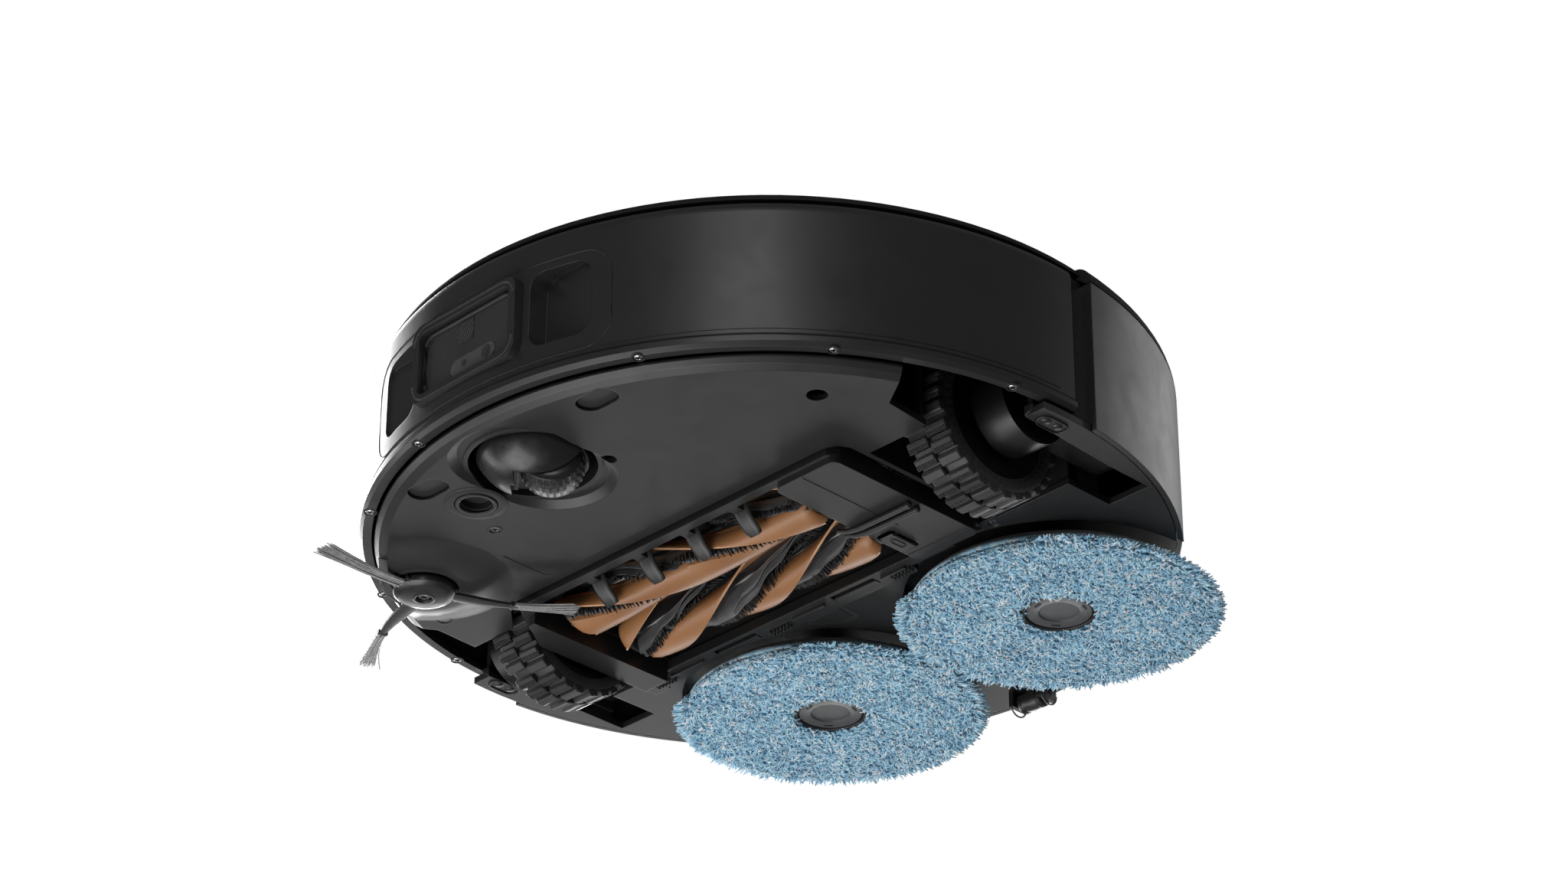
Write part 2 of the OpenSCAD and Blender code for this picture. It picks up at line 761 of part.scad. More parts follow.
module bumper_shell() {
    color(CHARCOAL) difference() {
        union() {
            rotate_extrude($fn = 180) polygon(concat(
                [[bumper_in - 1.2, bumper_z], [bumper_r - 0.4, bumper_z], [bumper_r + 1.2, bumper_z + 1.8],
                 [bumper_r + 1.2, bumper_z + 4.4], [bumper_r - 0.4, bumper_z + 5],
                 [bumper_r - 0.4, bumper_z + 5.6], [bumper_r, bumper_z + 6]],
                round_corner(bumper_r, bumper_top, 6),
                [[bumper_r - 8, bumper_top], [bumper_r - 8, bumper_top - 2], [bumper_in, bumper_top - 5],
                 [bumper_in, bumper_z + 3], [bumper_in - 1.2, bumper_z + 3]]
            ));
            // backs of the line lasers' pockets
            both() intersection() {
                block([33, -175, bay_z0 - 2], [67, pocket_back_y + 1.6, bay_z1 + 2]);
                cylinder(r = bumper_in + 0.5, h = 200, $fn = 180);
            }
        }
        behind(2.5);
        slab_y([-bay_w / 2, bay_z0], [bay_w / 2, bay_z1], 6, -200, -140);
        both() slab_y([35.5, bay_z0 + 2], [63.5, bay_z1 - 1], 7, -200, pocket_back_y);
        for (a = bumper_screw_angles)
            post(screw_ring_r * sin(a), -screw_ring_r * cos(a), 2.1, bumper_z - 1, bumper_z + 1.25);
    }
}
// A rounded rectangle in X and Z, raised along Y from y0 to y1
module slab_y(a, b, r, y0, y1) {
    translate([0, y1, 0]) rotate([90, 0, 0]) linear_extrude(y1 - y0) rounded(a, b, r);
}

module bumper_screws() {
    color(STEEL) for (a = bumper_screw_angles)
        screw_up(screw_ring_r * sin(a), -screw_ring_r * cos(a), bumper_z - 0.2, 2, 1.2);
}

module window_frame() {
    color(BLACK) difference() {
        slab_y([-bay_w / 2 + 0.1, bay_z0 + 0.1], [bay_w / 2 - 0.1, bay_z1 - 0.1], 5.9, -176.5, -169.5);
        slab_y([-bay_w / 2 + 4, bay_z0 + 4], [bay_w / 2 - 4, bay_z1 - 4], 4, -180, -160);
    }
}

module window_glass() {
    color([0.02, 0.02, 0.025])
        slab_y([-bay_w / 2 + 4, bay_z0 + 4], [bay_w / 2 - 4, bay_z1 - 4], 4, -173, -171);
}

module bumper_springs() {
    color(STEEL) both() translate([80, -143.9, under_z + 65]) rotate([90, 0, 0]) coil(2.2, 0.4, 6.6, 4);
}

module camera_module() {
    color(BLACK) difference() {
        union() {
            block([-27, -164.5, bay_z0 + 2], [27, -158.4, bay_z1 - 2]);
            block([-27, -164.5, under_z + 39.5], [27, -147, bay_z1 - 2]);
        }
        translate([0, -160, under_z + 26]) rotate([90, 0, 0]) cylinder(r = 4, h = 10);
        translate([14, -160, under_z + 26]) rotate([90, 0, 0]) cylinder(r = 4, h = 10);
    }
}

module charging_contacts() {
    color(STEEL) both() intersection() {
        block([18.3, 150, under_z + 22.3], [33.7, 190, under_z + 33.7]);
        ring(0, 0, rear_r - 4, rear_r - 0.6, 0, 200, $fn = 180);
    }
}

// ---- sensors and screws ----

module floor_sensors() {
    color(BLACK) {
        both() slab([42.3, -153.7], [61.7, -142.3], 5.5, under_z + 1.4, under_z + 8);
        both() slab([163.8, -11.7], [171.2, 3.7], 3.2, under_z + 0.3, plate_z);
        ring(carpet_x, carpet_y, 6.5, 10.7, under_z + 0.6, plate_z - 1);
        ring(carpet_x, carpet_y, 6.5, 9, plate_z - 1, under_z + 9);
        post(carpet_x, carpet_y, 6.5, under_z + 4, under_z + 9);
    }
}

module base_screws() {
    color(STEEL) for (p = base_screw_spots) screw_up(p.x, p.y, under_z + 0.2, 2.1, 7);
}

// ---- inside the body ----

module battery_pack() {
    color(GREY) slab([-72, -140], [72, -70], 4, deck_z + deck_t + 0.2, deck_z + 27);
}

module main_board() {
    z0 = deck_z + deck_t + 3;
    color([0.1, 0.35, 0.2]) {
        block([-93, -58, z0], [-47, 34, z0 + 1.6]);
        block([-85, -50, z0 + 1.6], [-60, -28, z0 + 6]);
        block([-84, -16, z0 + 1.6], [-70, -2, z0 + 5]);
        block([-88, 12, z0 + 1.6], [-58, 26, z0 + 9]);
    }
}

module fan_housing() {
    z0 = deck_z + deck_t + 0.2;
    color(GREY) difference() {
        post(69, 80, 27, z0, top_z - 7);
        post(69, 80, 23, z0 + 2, top_z - 9);
        post(69, 80, 9, top_z - 10, top_z - 6);
        post(69, 80, 2 + fit, z0 - 1, z0 + 3);
        block([38, 70, z0 + 6], [50, 90, z0 + 22]);
    }
}

module fan_impeller() {
    z0 = deck_z + deck_t + 4;
    color(BLACK) {
        post(69, 80, 21, z0, z0 + 2);
        post(69, 80, 6, z0, z0 + 16);
        post(69, 80, 2, z0 - 3.6, z0);
        for (i = [0:8]) translate([69, 80, z0 + 1]) rotate(40 * i)
            block([5, -0.6, 0], [20, 0.6, 11]);
    }
}

module dust_duct() {
    color(BLACK) difference() {
        block([-29, 37.4, under_z + 20], [29, 45.4, top_z - 10]);
        block([-27, 39.4, under_z + 22], [27, 43.4, top_z - 12]);
        block([-27, 36, under_z + 22], [27, 40, under_z + 36]);
        block([-27, 43, top_z - 28], [27, 46, top_z - 14]);
    }
}

module dustbin() {
    z0 = deck_z + deck_t + 0.4;
    color([0.25, 0.26, 0.28]) difference() {
        slab([-80, 46], [36, 124], 6, z0, top_z - 5);
        slab([-78, 48], [34, 122], 5, z0 + 2, top_z);
        block([-27, 44, top_z - 28], [27, 50, top_z - 14]);
        block([30, 70, z0 + 8], [40, 90, z0 + 22]);
    }
}

module bin_filter() {
    z0 = deck_z + deck_t + 4;
    color([0.85, 0.85, 0.82]) block([24, 62, z0], [33.5, 98, z0 + 22]);
}

module water_tank() {
    color(GREY) slab([-128, 66], [-97, 104], 4, pocket_z + 2.2, top_z - 8);
}

module lidar_turret() {
    color(BLACK) difference() {
        post(0, turret_y, turret_r, top_z - turret_rise - 10, top_z);
        difference() {
            post(0, turret_y, turret_r - 2, top_z - turret_rise - 7, top_z - 3);
            for (a = [45:90:315]) translate([0, turret_y, 0]) rotate(a)
                block([turret_r - 6, -2.5, 0], [turret_r, 2.5, 200]);
        }
        // open ring the laser looks through
        difference() {
            ring(0, turret_y, turret_r - 3, turret_r + 1, top_z - turret_rise + 3, top_z - 5);
            for (a = [45:90:315]) translate([0, turret_y, 0]) rotate(a)
                block([turret_r - 6, -2.5, 0], [turret_r + 2, 2.5, 200]);
        }
        post(0, turret_y, 3 + fit, top_z - turret_rise - 11, top_z - turret_rise - 5);
    }
}

module lidar_head() {
    z0 = top_z - turret_rise - 6.6;
    color(GREY) difference() {
        union() {
            post(0, turret_y, 3, z0 - 3.2, z0 + 1);
            post(0, turret_y, 27, z0, z0 + 4);
            block([-20, turret_y - 12, z0 + 3], [20, turret_y + 12, z0 + 20]);
        }
        for (x = [-10, 10]) translate([x, turret_y - 8, z0 + 12]) rotate([90, 0, 0]) cylinder(r = 5, h = 8);
    }
}

module top_lid() {
    color(CHARCOAL) difference() {
        translate([0, 0, top_z - 2.5]) linear_extrude(2.5) lid_outline(0);
        // finger dip at the rear edge
        post(0, lid_r + 6, 16, top_z - 1.2, top_z + 1);
    }
}

module top_button(x) {
    color(BLACK) {
        post(x, -98, button_r, top_z - 3, top_z + 0.3);
        post(x, -98, 2.5, top_z - 8, top_z - 3);
    }
}
module power_button() { top_button(0); }
module clean_button() { top_button(-28); }
module dock_button() { top_button(28); }

base_plate();
rear_wall();
top_shell();
inner_deck();
brush_housing();
brush_motor();
battery_pack();
main_board();
fan_housing();
fan_impeller();
dust_duct();
water_tank();
camera_module();
floor_sensors();
side_brush_motor();
charging_contacts();
base_screws();
idler_gear();
motor_pinion();
tail_roller();
bumper_shell();
window_frame();
window_glass();
bumper_screws();
bumper_springs();
top_lid();
dustbin();
bin_filter();
lidar_turret();
lidar_head();
power_button();
clean_button();
dock_button();
wheel_arm_left();
wheel_arm_right();
wheel_motor_left();
wheel_motor_right();
arm_spring_left();
arm_spring_right();
wheel_hub_left();
wheel_hub_right();
tyre_left();
tyre_right();
caster_fork();
caster_wheel();
side_brush_hub();
side_brush_arms();
side_brush_bristles();
front_roller_core();
front_roller_fins();
rear_roller_core();
rear_roller_fins();
brush_guard();
guard_latch();
release_button();
mop_lift_frame();
mop_plate_left();
mop_plate_right();
mop_pad_left();
mop_pad_right();
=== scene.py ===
"""Robot vacuum seen from below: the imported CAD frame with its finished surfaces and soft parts.

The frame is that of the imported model: +Z up, front towards -Y. Lengths are in millimetres up to
the section on the camera, and MM turns them into metres. Turns and slopes are in degrees.
"""

import json
import math
import random

import bmesh
import bpy
import numpy as np
from mathutils import Matrix, Vector


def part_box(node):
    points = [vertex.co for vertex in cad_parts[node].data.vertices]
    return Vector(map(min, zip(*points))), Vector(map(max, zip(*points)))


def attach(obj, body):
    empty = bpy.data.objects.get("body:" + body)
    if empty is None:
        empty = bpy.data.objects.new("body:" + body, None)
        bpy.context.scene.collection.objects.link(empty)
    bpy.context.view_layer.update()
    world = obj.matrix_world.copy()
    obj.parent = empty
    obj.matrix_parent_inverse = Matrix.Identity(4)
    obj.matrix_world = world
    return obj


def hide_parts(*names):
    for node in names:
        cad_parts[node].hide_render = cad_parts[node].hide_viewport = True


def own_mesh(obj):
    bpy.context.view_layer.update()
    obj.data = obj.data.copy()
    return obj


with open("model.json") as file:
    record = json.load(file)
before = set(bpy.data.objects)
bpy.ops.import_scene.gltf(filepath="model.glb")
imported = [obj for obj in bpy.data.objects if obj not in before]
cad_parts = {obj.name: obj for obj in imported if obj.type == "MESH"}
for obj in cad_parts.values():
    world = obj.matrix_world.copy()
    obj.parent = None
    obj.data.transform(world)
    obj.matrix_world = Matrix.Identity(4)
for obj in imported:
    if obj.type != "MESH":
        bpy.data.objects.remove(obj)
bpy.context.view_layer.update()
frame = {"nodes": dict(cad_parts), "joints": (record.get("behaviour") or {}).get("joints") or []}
NODES = frame["nodes"]
MM = 0.001
SIDES = (("left", 1), ("right", -1))


# ---------------------------------------------------------------- materials
class Shader:
    """A Principled material whose colour, roughness and bump come from nodes."""

    def __init__(self, name):
        self.mat = bpy.data.materials.new(name)
        self.mat.use_nodes = True
        self.tree = self.mat.node_tree
        self.tree.nodes.clear()
        self.out = self.node("OutputMaterial")
        self.bsdf = self.node("BsdfPrincipled")
        self.link(self.bsdf.outputs[0], self.out.inputs[0])
        self.where = self.node("TexCoord").outputs["Object"]

    def node(self, kind, **values):
        made = self.tree.nodes.new("ShaderNode" + kind)
        for key, value in values.items():
            setattr(made, key, value)
        return made

    def link(self, source, target):
        self.tree.links.new(source, target)

    def put(self, socket, value):
        if isinstance(value, bpy.types.NodeSocket):
            self.link(value, socket)
        else:
            socket.default_value = value

    def set(self, **values):
        for key, value in values.items():
            self.put(self.bsdf.inputs[key.replace("_", " ")], value)

    def stretched(self, scale):
        made = self.node("Mapping")
        self.link(self.where, made.inputs["Vector"])
        made.inputs["Scale"].default_value = scale
        return made.outputs[0]

    def noise(self, scale, detail=3.0, rough=0.5, vector=None, distortion=0.0):
        made = self.node("TexNoise")
        self.link(vector or self.where, made.inputs["Vector"])
        names = ("Scale", "Detail", "Roughness", "Distortion")
        for key, value in zip(names, (scale, detail, rough, distortion)):
            made.inputs[key].default_value = value
        return made.outputs["Fac"]

    def voronoi(self, scale, output="Distance", feature="F1"):
        made = self.node("TexVoronoi", feature=feature)
        self.link(self.where, made.inputs["Vector"])
        made.inputs["Scale"].default_value = scale
        return made.outputs[output]

    def spread(self, fac, low, high):
        """Maps the middle of a noise's range to the values from low to high."""
        made = self.node("MapRange")
        self.link(fac, made.inputs["Value"])
        for key, value in zip(("From Min", "From Max", "To Min", "To Max"), (0.3, 0.7, low, high)):
            made.inputs[key].default_value = value
        return made.outputs[0]

    def math(self, operation, a, b):
        made = self.node("Math", operation=operation)
        self.put(made.inputs[0], a)
        self.put(made.inputs[1], b)
        return made.outputs[0]

    def ramp(self, fac, stops):
        made = self.node("ValToRGB")
        self.link(fac, made.inputs[0])
        bar = made.color_ramp.elements
        while len(bar) < len(stops):
            bar.new(0.5)
        for element, (place, colour) in zip(bar, stops):
            element.position = place
            element.color = (*colour, 1)
        return made.outputs[0]

    def shades(self, fac, colour, low, high, start=0.3):
        """Runs from a darker to a lighter tone of one colour."""
        tones = [tuple(min(1.0, c * k) for c in colour) for k in (low, high)]
        return self.ramp(fac, list(zip((start, 0.7), tones)))

    def mix(self, fac, a, b, blend="MIX"):
        made = self.node("Mix", data_type="RGBA", blend_type=blend)
        for index, value in ((0, fac), (6, a), (7, b)):
            self.put(made.inputs[index], value)
        return made.outputs[2]

    def relief(self, height, distance, strength=1.0, edge=0.0):
        """Bump of a distance in millimetres, over edges that look rounded by the radius edge."""
        made = self.node("Bump")
        made.inputs["Strength"].default_value = strength
        made.inputs["Distance"].default_value = distance * MM
        self.put(made.inputs["Height"], height)
        if edge:
            soft = self.node("Bevel", samples=4)
            soft.inputs["Radius"].default_value = edge * MM
            self.link(soft.outputs[0], made.inputs["Normal"])
        return made.outputs[0]


def moulded(name, colour, rough, grain=2600.0, depth=0.03, edge=0.5, spread=0.18, ior=1.5, wear=0.12):
    """Injection-moulded plastic: fine spark-eroded grain, faint flow clouds and rubbed patches."""
    s = Shader(name)
    clouds = s.noise(14, 4, 0.55)
    rubbed = s.noise(55, 5, 0.6, distortion=0.6)
    fine = s.noise(grain, 2, 0.6)
    base = s.shades(clouds, colour, 1 - spread, 1 + spread)
    speck = s.ramp(fine, [(0.35, (0.82, 0.82, 0.82)), (0.65, (1.0, 1.0, 1.0))])
    s.set(Base_Color=s.mix(1.0, base, speck, "MULTIPLY"))
    s.set(Roughness=s.spread(rubbed, rough * (1 - wear), rough * (1 + wear)), IOR=ior)
    s.set(Normal=s.relief(fine, depth, 0.5, edge))
    return s.mat


def glossy(name, colour, rough, edge=0.4, coat=0.4):
    """Polished plastic: a coat over a deep colour, with the faint waviness of the tool."""
    s = Shader(name)
    swirl = s.noise(38, 3, 0.5, distortion=0.8)
    smear = s.noise(160, 4, 0.6)
    s.set(Base_Color=s.shades(swirl, colour, 0.8, 1.2))
    s.set(Roughness=s.spread(smear, rough * 0.7, rough * 1.4), Coat_Weight=coat, Coat_Roughness=0.06)
    s.set(Normal=s.relief(swirl, 0.2, 0.15, edge))
    return s.mat


def rubber(name, colour, rough, scale=900.0, sheen=0.15):
    """Rubber: matt and slightly dusty, with a leathery micro-relief."""
    s = Shader(name)
    dust = s.noise(120, 5, 0.65)
    skin = s.voronoi(scale)
    s.set(Base_Color=s.shades(dust, colour, 0.78, 1.3, 0.35))
    s.set(Roughness=s.spread(dust, rough * 0.85, min(1.0, rough * 1.15)), Sheen_Weight=sheen)
    s.set(Normal=s.relief(skin, 0.06, 0.5, 0.4))
    return s.mat


def metal(name, colour, rough, brushed=(1, 1, 1)):
    """Plated or brushed steel, with streaks along one direction."""
    s = Shader(name)
    streak = s.noise(500, 4, 0.6, s.stretched(brushed))
    haze = s.noise(90, 3, 0.5)
    s.set(Base_Color=s.shades(haze, colour, 0.86, 1.08), Metallic=1.0)
    s.set(Roughness=s.spread(streak, rough * 0.6, rough * 1.5))
    s.set(Normal=s.relief(streak, 0.02, 0.35, 0.3))
    return s.mat


def copper_rubber(name, dark, light):
    """Soft silicone in a copper tone: smooth and satin, a little translucent at its thin edges."""
    s = Shader(name)
    cloud = s.noise(26, 4, 0.5, distortion=0.5)
    fine = s.noise(1800, 2, 0.5)
    s.set(Base_Color=s.ramp(cloud, [(0.3, dark), (0.7, light)]))
    s.set(Roughness=s.spread(cloud, 0.34, 0.48), Subsurface_Weight=0.06, Subsurface_Scale=1.5 * MM)
    s.set(Normal=s.relief(fine, 0.02, 0.4, 0.3))
    return s.mat


def fibre(name, dark, light):
    """Bundled nylon fibres: streaks of lighter and darker strands."""
    s = Shader(name)
    strand = s.noise(2600, 2, 0.6, s.stretched((1, 1, 1)))
    tint = s.noise(340, 3, 0.6)
    base = s.ramp(strand, [(0.35, dark), (0.65, light)])
    s.set(Base_Color=s.mix(s.spread(tint, 0.0, 0.5), base, (*dark, 1)))
    s.set(Roughness=s.spread(strand, 0.35, 0.6), Sheen_Weight=0.1)
    s.set(Normal=s.relief(strand, 0.08, 0.6))
    return s.mat


def pile_fabric():
    """Looped microfibre: pale blue tufts, with white and lilac-grey strands among them."""
    s = Shader("Microfibre pile")
    tuft = s.voronoi(520, "Color")
    strand = s.noise(1500, 3, 0.6)
    patch = s.noise(70, 4, 0.6)
    pick = s.node("SeparateColor")
    s.link(tuft, pick.inputs[0])
    blues = [
        (0.0, (0.24, 0.47, 0.64)),
        (0.25, (0.36, 0.66, 0.84)),
        (0.55, (0.50, 0.80, 0.95)),
        (0.78, (0.66, 0.90, 0.98)),
        (0.9, (0.80, 0.92, 0.98)),
        (1.0, (0.96, 0.98, 1.0)),
    ]
    blue = s.ramp(pick.outputs[0], blues)
    shade = s.ramp(patch, [(0.3, (0.8, 0.82, 0.86)), (0.7, (1.0, 1.0, 1.0))])
    fleck = s.ramp(strand, [(0.3, (0.74, 0.76, 0.8)), (0.65, (1.1, 1.1, 1.1))])
    colour = s.mix(1.0, s.mix(1.0, blue, shade, "MULTIPLY"), fleck, "MULTIPLY")
    s.set(Base_Color=colour, Roughness=s.spread(strand, 0.8, 1.0))
    s.set(Sheen_Weight=0.35, Sheen_Roughness=0.4, Normal=s.relief(strand, 0.4, 0.8))
    return s.mat


def circuit_board():
    """Green lacquer over copper tracks."""
    s = Shader("Circuit board")
    cells = s.voronoi(240, feature="DISTANCE_TO_EDGE")
    track = s.ramp(cells, [(0.02, (0.30, 0.36, 0.14)), (0.07, (0.01, 0.09, 0.035))])
    haze = s.noise(300, 3)
    s.set(Base_Color=track, Roughness=s.spread(haze, 0.28, 0.46), Coat_Weight=0.3)
    s.set(Normal=s.relief(cells, 0.08, 0.5, 0.3))
    return s.mat


SHELL = moulded("Shell satin black", (0.022, 0.022, 0.0225), 0.36, spread=0.05)
TOP = moulded("Top matt black", (0.024, 0.024, 0.0245), 0.62, spread=0.05, ior=1.16, wear=0.02)
UNDER = moulded("Underside satin black", (0.017, 0.017, 0.0174), 0.37, spread=0.08, grain=2000, depth=0.04)
MATT = moulded("Inner matt black", (0.016, 0.016, 0.0165), 0.52, grain=1500)
# Black plastic made darker than the other blacks, for the wheel hubs, arms and dishes: partly painted shade
# of the deep wheel wells.
WELL_BLACK_AND_SHADE = moulded("Wheel well black darkened for shade", (0.006, 0.006, 0.0062), 0.34, edge=0.6, spread=0.05)
# A lighter black for the lips of the window's frame and of the wheel dishes: painted highlight on those
# lips.
RIM_HIGHLIGHT = moulded("Rim highlight lighter black", (0.055, 0.055, 0.057), 0.26, edge=0.3, spread=0.06)
GREY = moulded("Inner grey plastic", (0.24, 0.24, 0.25), 0.45)
HUB_GREY = moulded("Mop hub dark grey", (0.085, 0.087, 0.09), 0.4)
GEAR = moulded("Gear acetal", (0.55, 0.55, 0.52), 0.4, spread=0.06)
SMOKED = glossy("Smoked bin plastic", (0.05, 0.052, 0.056), 0.12, coat=0.6)
GLASS = glossy("Sensor window", (0.028, 0.028, 0.029), 0.2, coat=0.6)
LENS = glossy("Lens cover", (0.075, 0.076, 0.078), 0.25)
GLOSS = glossy("Gloss black plastic", (0.012, 0.012, 0.0125), 0.16, coat=0.5)
HOUSING = glossy("Caster housing black", (0.014, 0.014, 0.0145), 0.32, edge=0.7, coat=0.1)
STEEL = metal("Brushed steel", (0.62, 0.62, 0.63), 0.28, (1, 1, 0.05))
SCREW = metal("Nickel screw steel", (0.75, 0.75, 0.76), 0.18)
TREAD = rubber("Tyre tread rubber", (0.012, 0.012, 0.012), 0.5)
STRAP = rubber("Strap rubber", (0.02, 0.02, 0.0205), 0.5)
SOFT_GREY = rubber("Soft grey vane", (0.045, 0.046, 0.048), 0.42, scale=1600, sheen=0.2)
PAPER = rubber("Filter paper", (0.7, 0.69, 0.65), 0.9, scale=1400, sheen=0.3)
COPPER = copper_rubber("Copper silicone", (0.285, 0.125, 0.048), (0.375, 0.172, 0.068))
# A much lighter copper for the beads on the fins' free edges: painted highlight.
COPPER_HIGHLIGHT = copper_rubber("Copper silicone edge highlight", (0.58, 0.33, 0.18), (0.68, 0.40, 0.23))
NYLON = fibre("Black nylon", (0.006, 0.006, 0.0065), (0.05, 0.05, 0.052))
GREY_BRISTLE = fibre("Grey bristle", (0.20, 0.20, 0.202), (0.55, 0.55, 0.56))
PILE = pile_fabric()
BOARD = circuit_board()

FINISH = {
    SHELL: "window_frame rear_wall bumper_shell",
    TOP: "lidar_turret top_shell top_lid power_button clean_button dock_button lidar_head",
    UNDER: "base_plate brush_guard guard_latch release_button",
    MATT: "inner_deck brush_housing dust_duct fan_housing fan_impeller side_brush_motor"
    " camera_module floor_sensors mop_lift_frame",
    GREY: "water_tank battery_pack mop_plate_left mop_plate_right",
    SMOKED: "dustbin",
    GLASS: "window_glass",
    GLOSS: "side_brush_hub tail_roller front_roller_core rear_roller_core",
    HOUSING: "caster_fork caster_wheel",
    WELL_BLACK_AND_SHADE: "wheel_hub_left wheel_hub_right wheel_arm_left wheel_arm_right",
    GEAR: "idler_gear motor_pinion",
    STEEL: "brush_motor wheel_motor_left wheel_motor_right charging_contacts bumper_springs"
    " arm_spring_left arm_spring_right",
    SCREW: "base_screws bumper_screws",
    TREAD: "tyre_left tyre_right",
    STRAP: "side_brush_arms side_brush_bristles front_roller_fins rear_roller_fins",
    PAPER: "bin_filter",
    BOARD: "main_board",
}
for finish, names in FINISH.items():
    for name in names.split():
        NODES[name].data.materials.clear()
        NODES[name].data.materials.append(finish)


# ---------------------------------------------------------------- mesh building
class Bag:
    """Gathers vertices and faces of many small closed forms into one mesh, in millimetres."""

    def __init__(self):
        self.verts, self.faces, self.size = [], [], 0

    def add(self, verts, faces):
        verts = np.asarray(verts, float)
        self.verts.append(verts)
        self.faces.extend((np.asarray(f) + self.size).tolist() for f in faces)
        self.size += len(verts)

    def placed(self, axes, origin=(0, 0, 0)):
        """Turns everything so far by a matrix whose columns are the new axes, then moves it."""
        self.verts = [v @ np.transpose(axes) + origin for v in self.verts]

    def mirrored(self, sign):
        """Swaps left and right when the sign is negative."""
        self.placed(np.diag((sign, 1, 1)))

    def loft(self, rings, caps=True):
        """Skins closed rings of equal length."""
        rings = [np.asarray(r, float) for r in rings]
        n = len(rings[0])
        faces = []
        for a in range(len(rings) - 1):
            for b in range(n):
                c = (b + 1) % n
                faces.append((a * n + b, a * n + c, (a + 1) * n + c, (a + 1) * n + b))
        if caps:
            faces.append(tuple(range(n))[::-1])
            last = (len(rings) - 1) * n
            faces.append(tuple(last + i for i in range(n)))
        self.add(np.concatenate(rings), faces)

    def slab(self, top, bottom):
        """A closed sheet between two grids of points of the same shape (rows, columns, 3)."""
        self.loft([np.concatenate([a, b[::-1]]) for a, b in zip(np.array(top), np.array(bottom))])

    def tube(self, points, radii, sides=8):
        """A round bar along points."""
        points = np.asarray(points, float)
        radii = np.broadcast_to(np.asarray(radii, float), len(points))
        along = np.gradient(points, axis=0)
        t = np.arange(sides) * 2 * math.pi / sides
        rings = []
        for p, d, r in zip(points, along, radii):
            d = d / np.linalg.norm(d)
            side = np.cross(d, (0, 0, 1))
            if np.linalg.norm(side) < 1e-3:
                side = np.cross(d, (1, 0, 0))
            side /= np.linalg.norm(side)
            other = np.cross(side, d)
            rings.append(p + r * (np.outer(np.cos(t), side) + np.outer(np.sin(t), other)))
        self.loft(rings)

    def prism(self, outline, z0, z1, bevel=0.0):
        """An upright extrusion of a plan outline, its top and bottom edges chamfered by bevel."""
        outline = np.asarray(outline, float)
        middle = outline.mean(0)

        def ring(z, inset):
            d = outline - middle
            k = 1 - inset / np.maximum(np.linalg.norm(d, axis=1), 1e-6)
            return np.column_stack([middle + d * k[:, None], np.full(len(d), z)])

        if bevel:
            self.loft([ring(z0, bevel), ring(z0 + bevel, 0), ring(z1 - bevel, 0), ring(z1, bevel)])
        else:
            self.loft([ring(z0, 0), ring(z1, 0)])

    def lathe(self, profile, centre=(0, 0, 0), axis="Z", steps=48):
        """Turns a closed profile of (radius, height) round an axis through centre.

        The profile may be a function of the turn in radians, for a form that isn't quite round."""
        rings = []
        for i in range(steps):
            t = 2 * math.pi * i / steps
            c, s = math.cos(t), math.sin(t)
            rings.append([(r * c, r * s, h) for r, h in (profile(t) if callable(profile) else profile)])
        n = len(rings[0])
        faces = []
        for a in range(steps):
            for b in range(n):
                c, d = (a + 1) % steps, (b + 1) % n
                faces.append((a * n + b, c * n + b, c * n + d, a * n + d))
        order = {"X": [2, 0, 1], "Y": [1, 2, 0], "Z": [0, 1, 2]}[axis]
        self.add(np.concatenate(rings)[:, order] + np.asarray(centre, float), faces)


def new_object(name, bag, finish=None):
    """Makes the bag's mesh, in metres, an object of the scene."""
    mesh = bpy.data.meshes.new(name)
    mesh.from_pydata((np.concatenate(bag.verts) * MM).tolist(), [], bag.faces)
    mesh.shade_smooth()
    if finish:
        mesh.materials.append(finish)
    obj = bpy.data.objects.new(name, mesh)
    bpy.context.scene.collection.objects.link(obj)
    return obj


def clean(mesh):
    """Merges doubled vertices and turns the normals outwards."""
    work = bmesh.new()
    work.from_mesh(mesh)
    bmesh.ops.remove_doubles(work, verts=work.verts, dist=1e-7)
    bmesh.ops.recalc_face_normals(work, faces=work.faces)
    work.to_mesh(mesh)
    work.free()


def piece(name, bag, body, finish, replaces=(), angle=40):
    """Makes a bag an object that rides on a body, with sharp edges past the angle."""
    obj = new_object(name, bag, finish)
    clean(obj.data)
    obj.data.shade_smooth()
    obj.data.set_sharp_from_angle(angle=math.radians(angle))
    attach(obj, body)
    if replaces:
        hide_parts(*replaces)
    return obj


def box(node):
    """The low and the high corner of a CAD node."""
    return [np.array(corner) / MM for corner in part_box(node)]


def middle_of(node):
    return sum(box(node)) / 2


def axes_at(turn):
    """The unit vectors that point along a turn in plan and to the left of it."""
    a = math.radians(turn)
    return np.array((math.cos(a), math.sin(a), 0)), np.array((-math.sin(a), math.cos(a), 0))


def circle(cx, cy, r, n=32, start=0.0, end=360.0):
    t = np.radians(np.linspace(start, end, n, endpoint=abs(end - start) < 360))
    return np.column_stack([cx + r * np.cos(t), cy + r * np.sin(t)])


def pill(cx, cy, length, width, n=10, turn=0.0):
    """A stadium outline, its long side along X before turning."""
    h, r = (length - width) / 2, width / 2
    points = np.concatenate([circle(h, 0, r, n, -90, 90), circle(-h, 0, r, n, 90, 270)])
    a = math.radians(turn)
    c, s = math.cos(a), math.sin(a)
    return points @ np.array([[c, s], [-s, c]]) + (cx, cy)


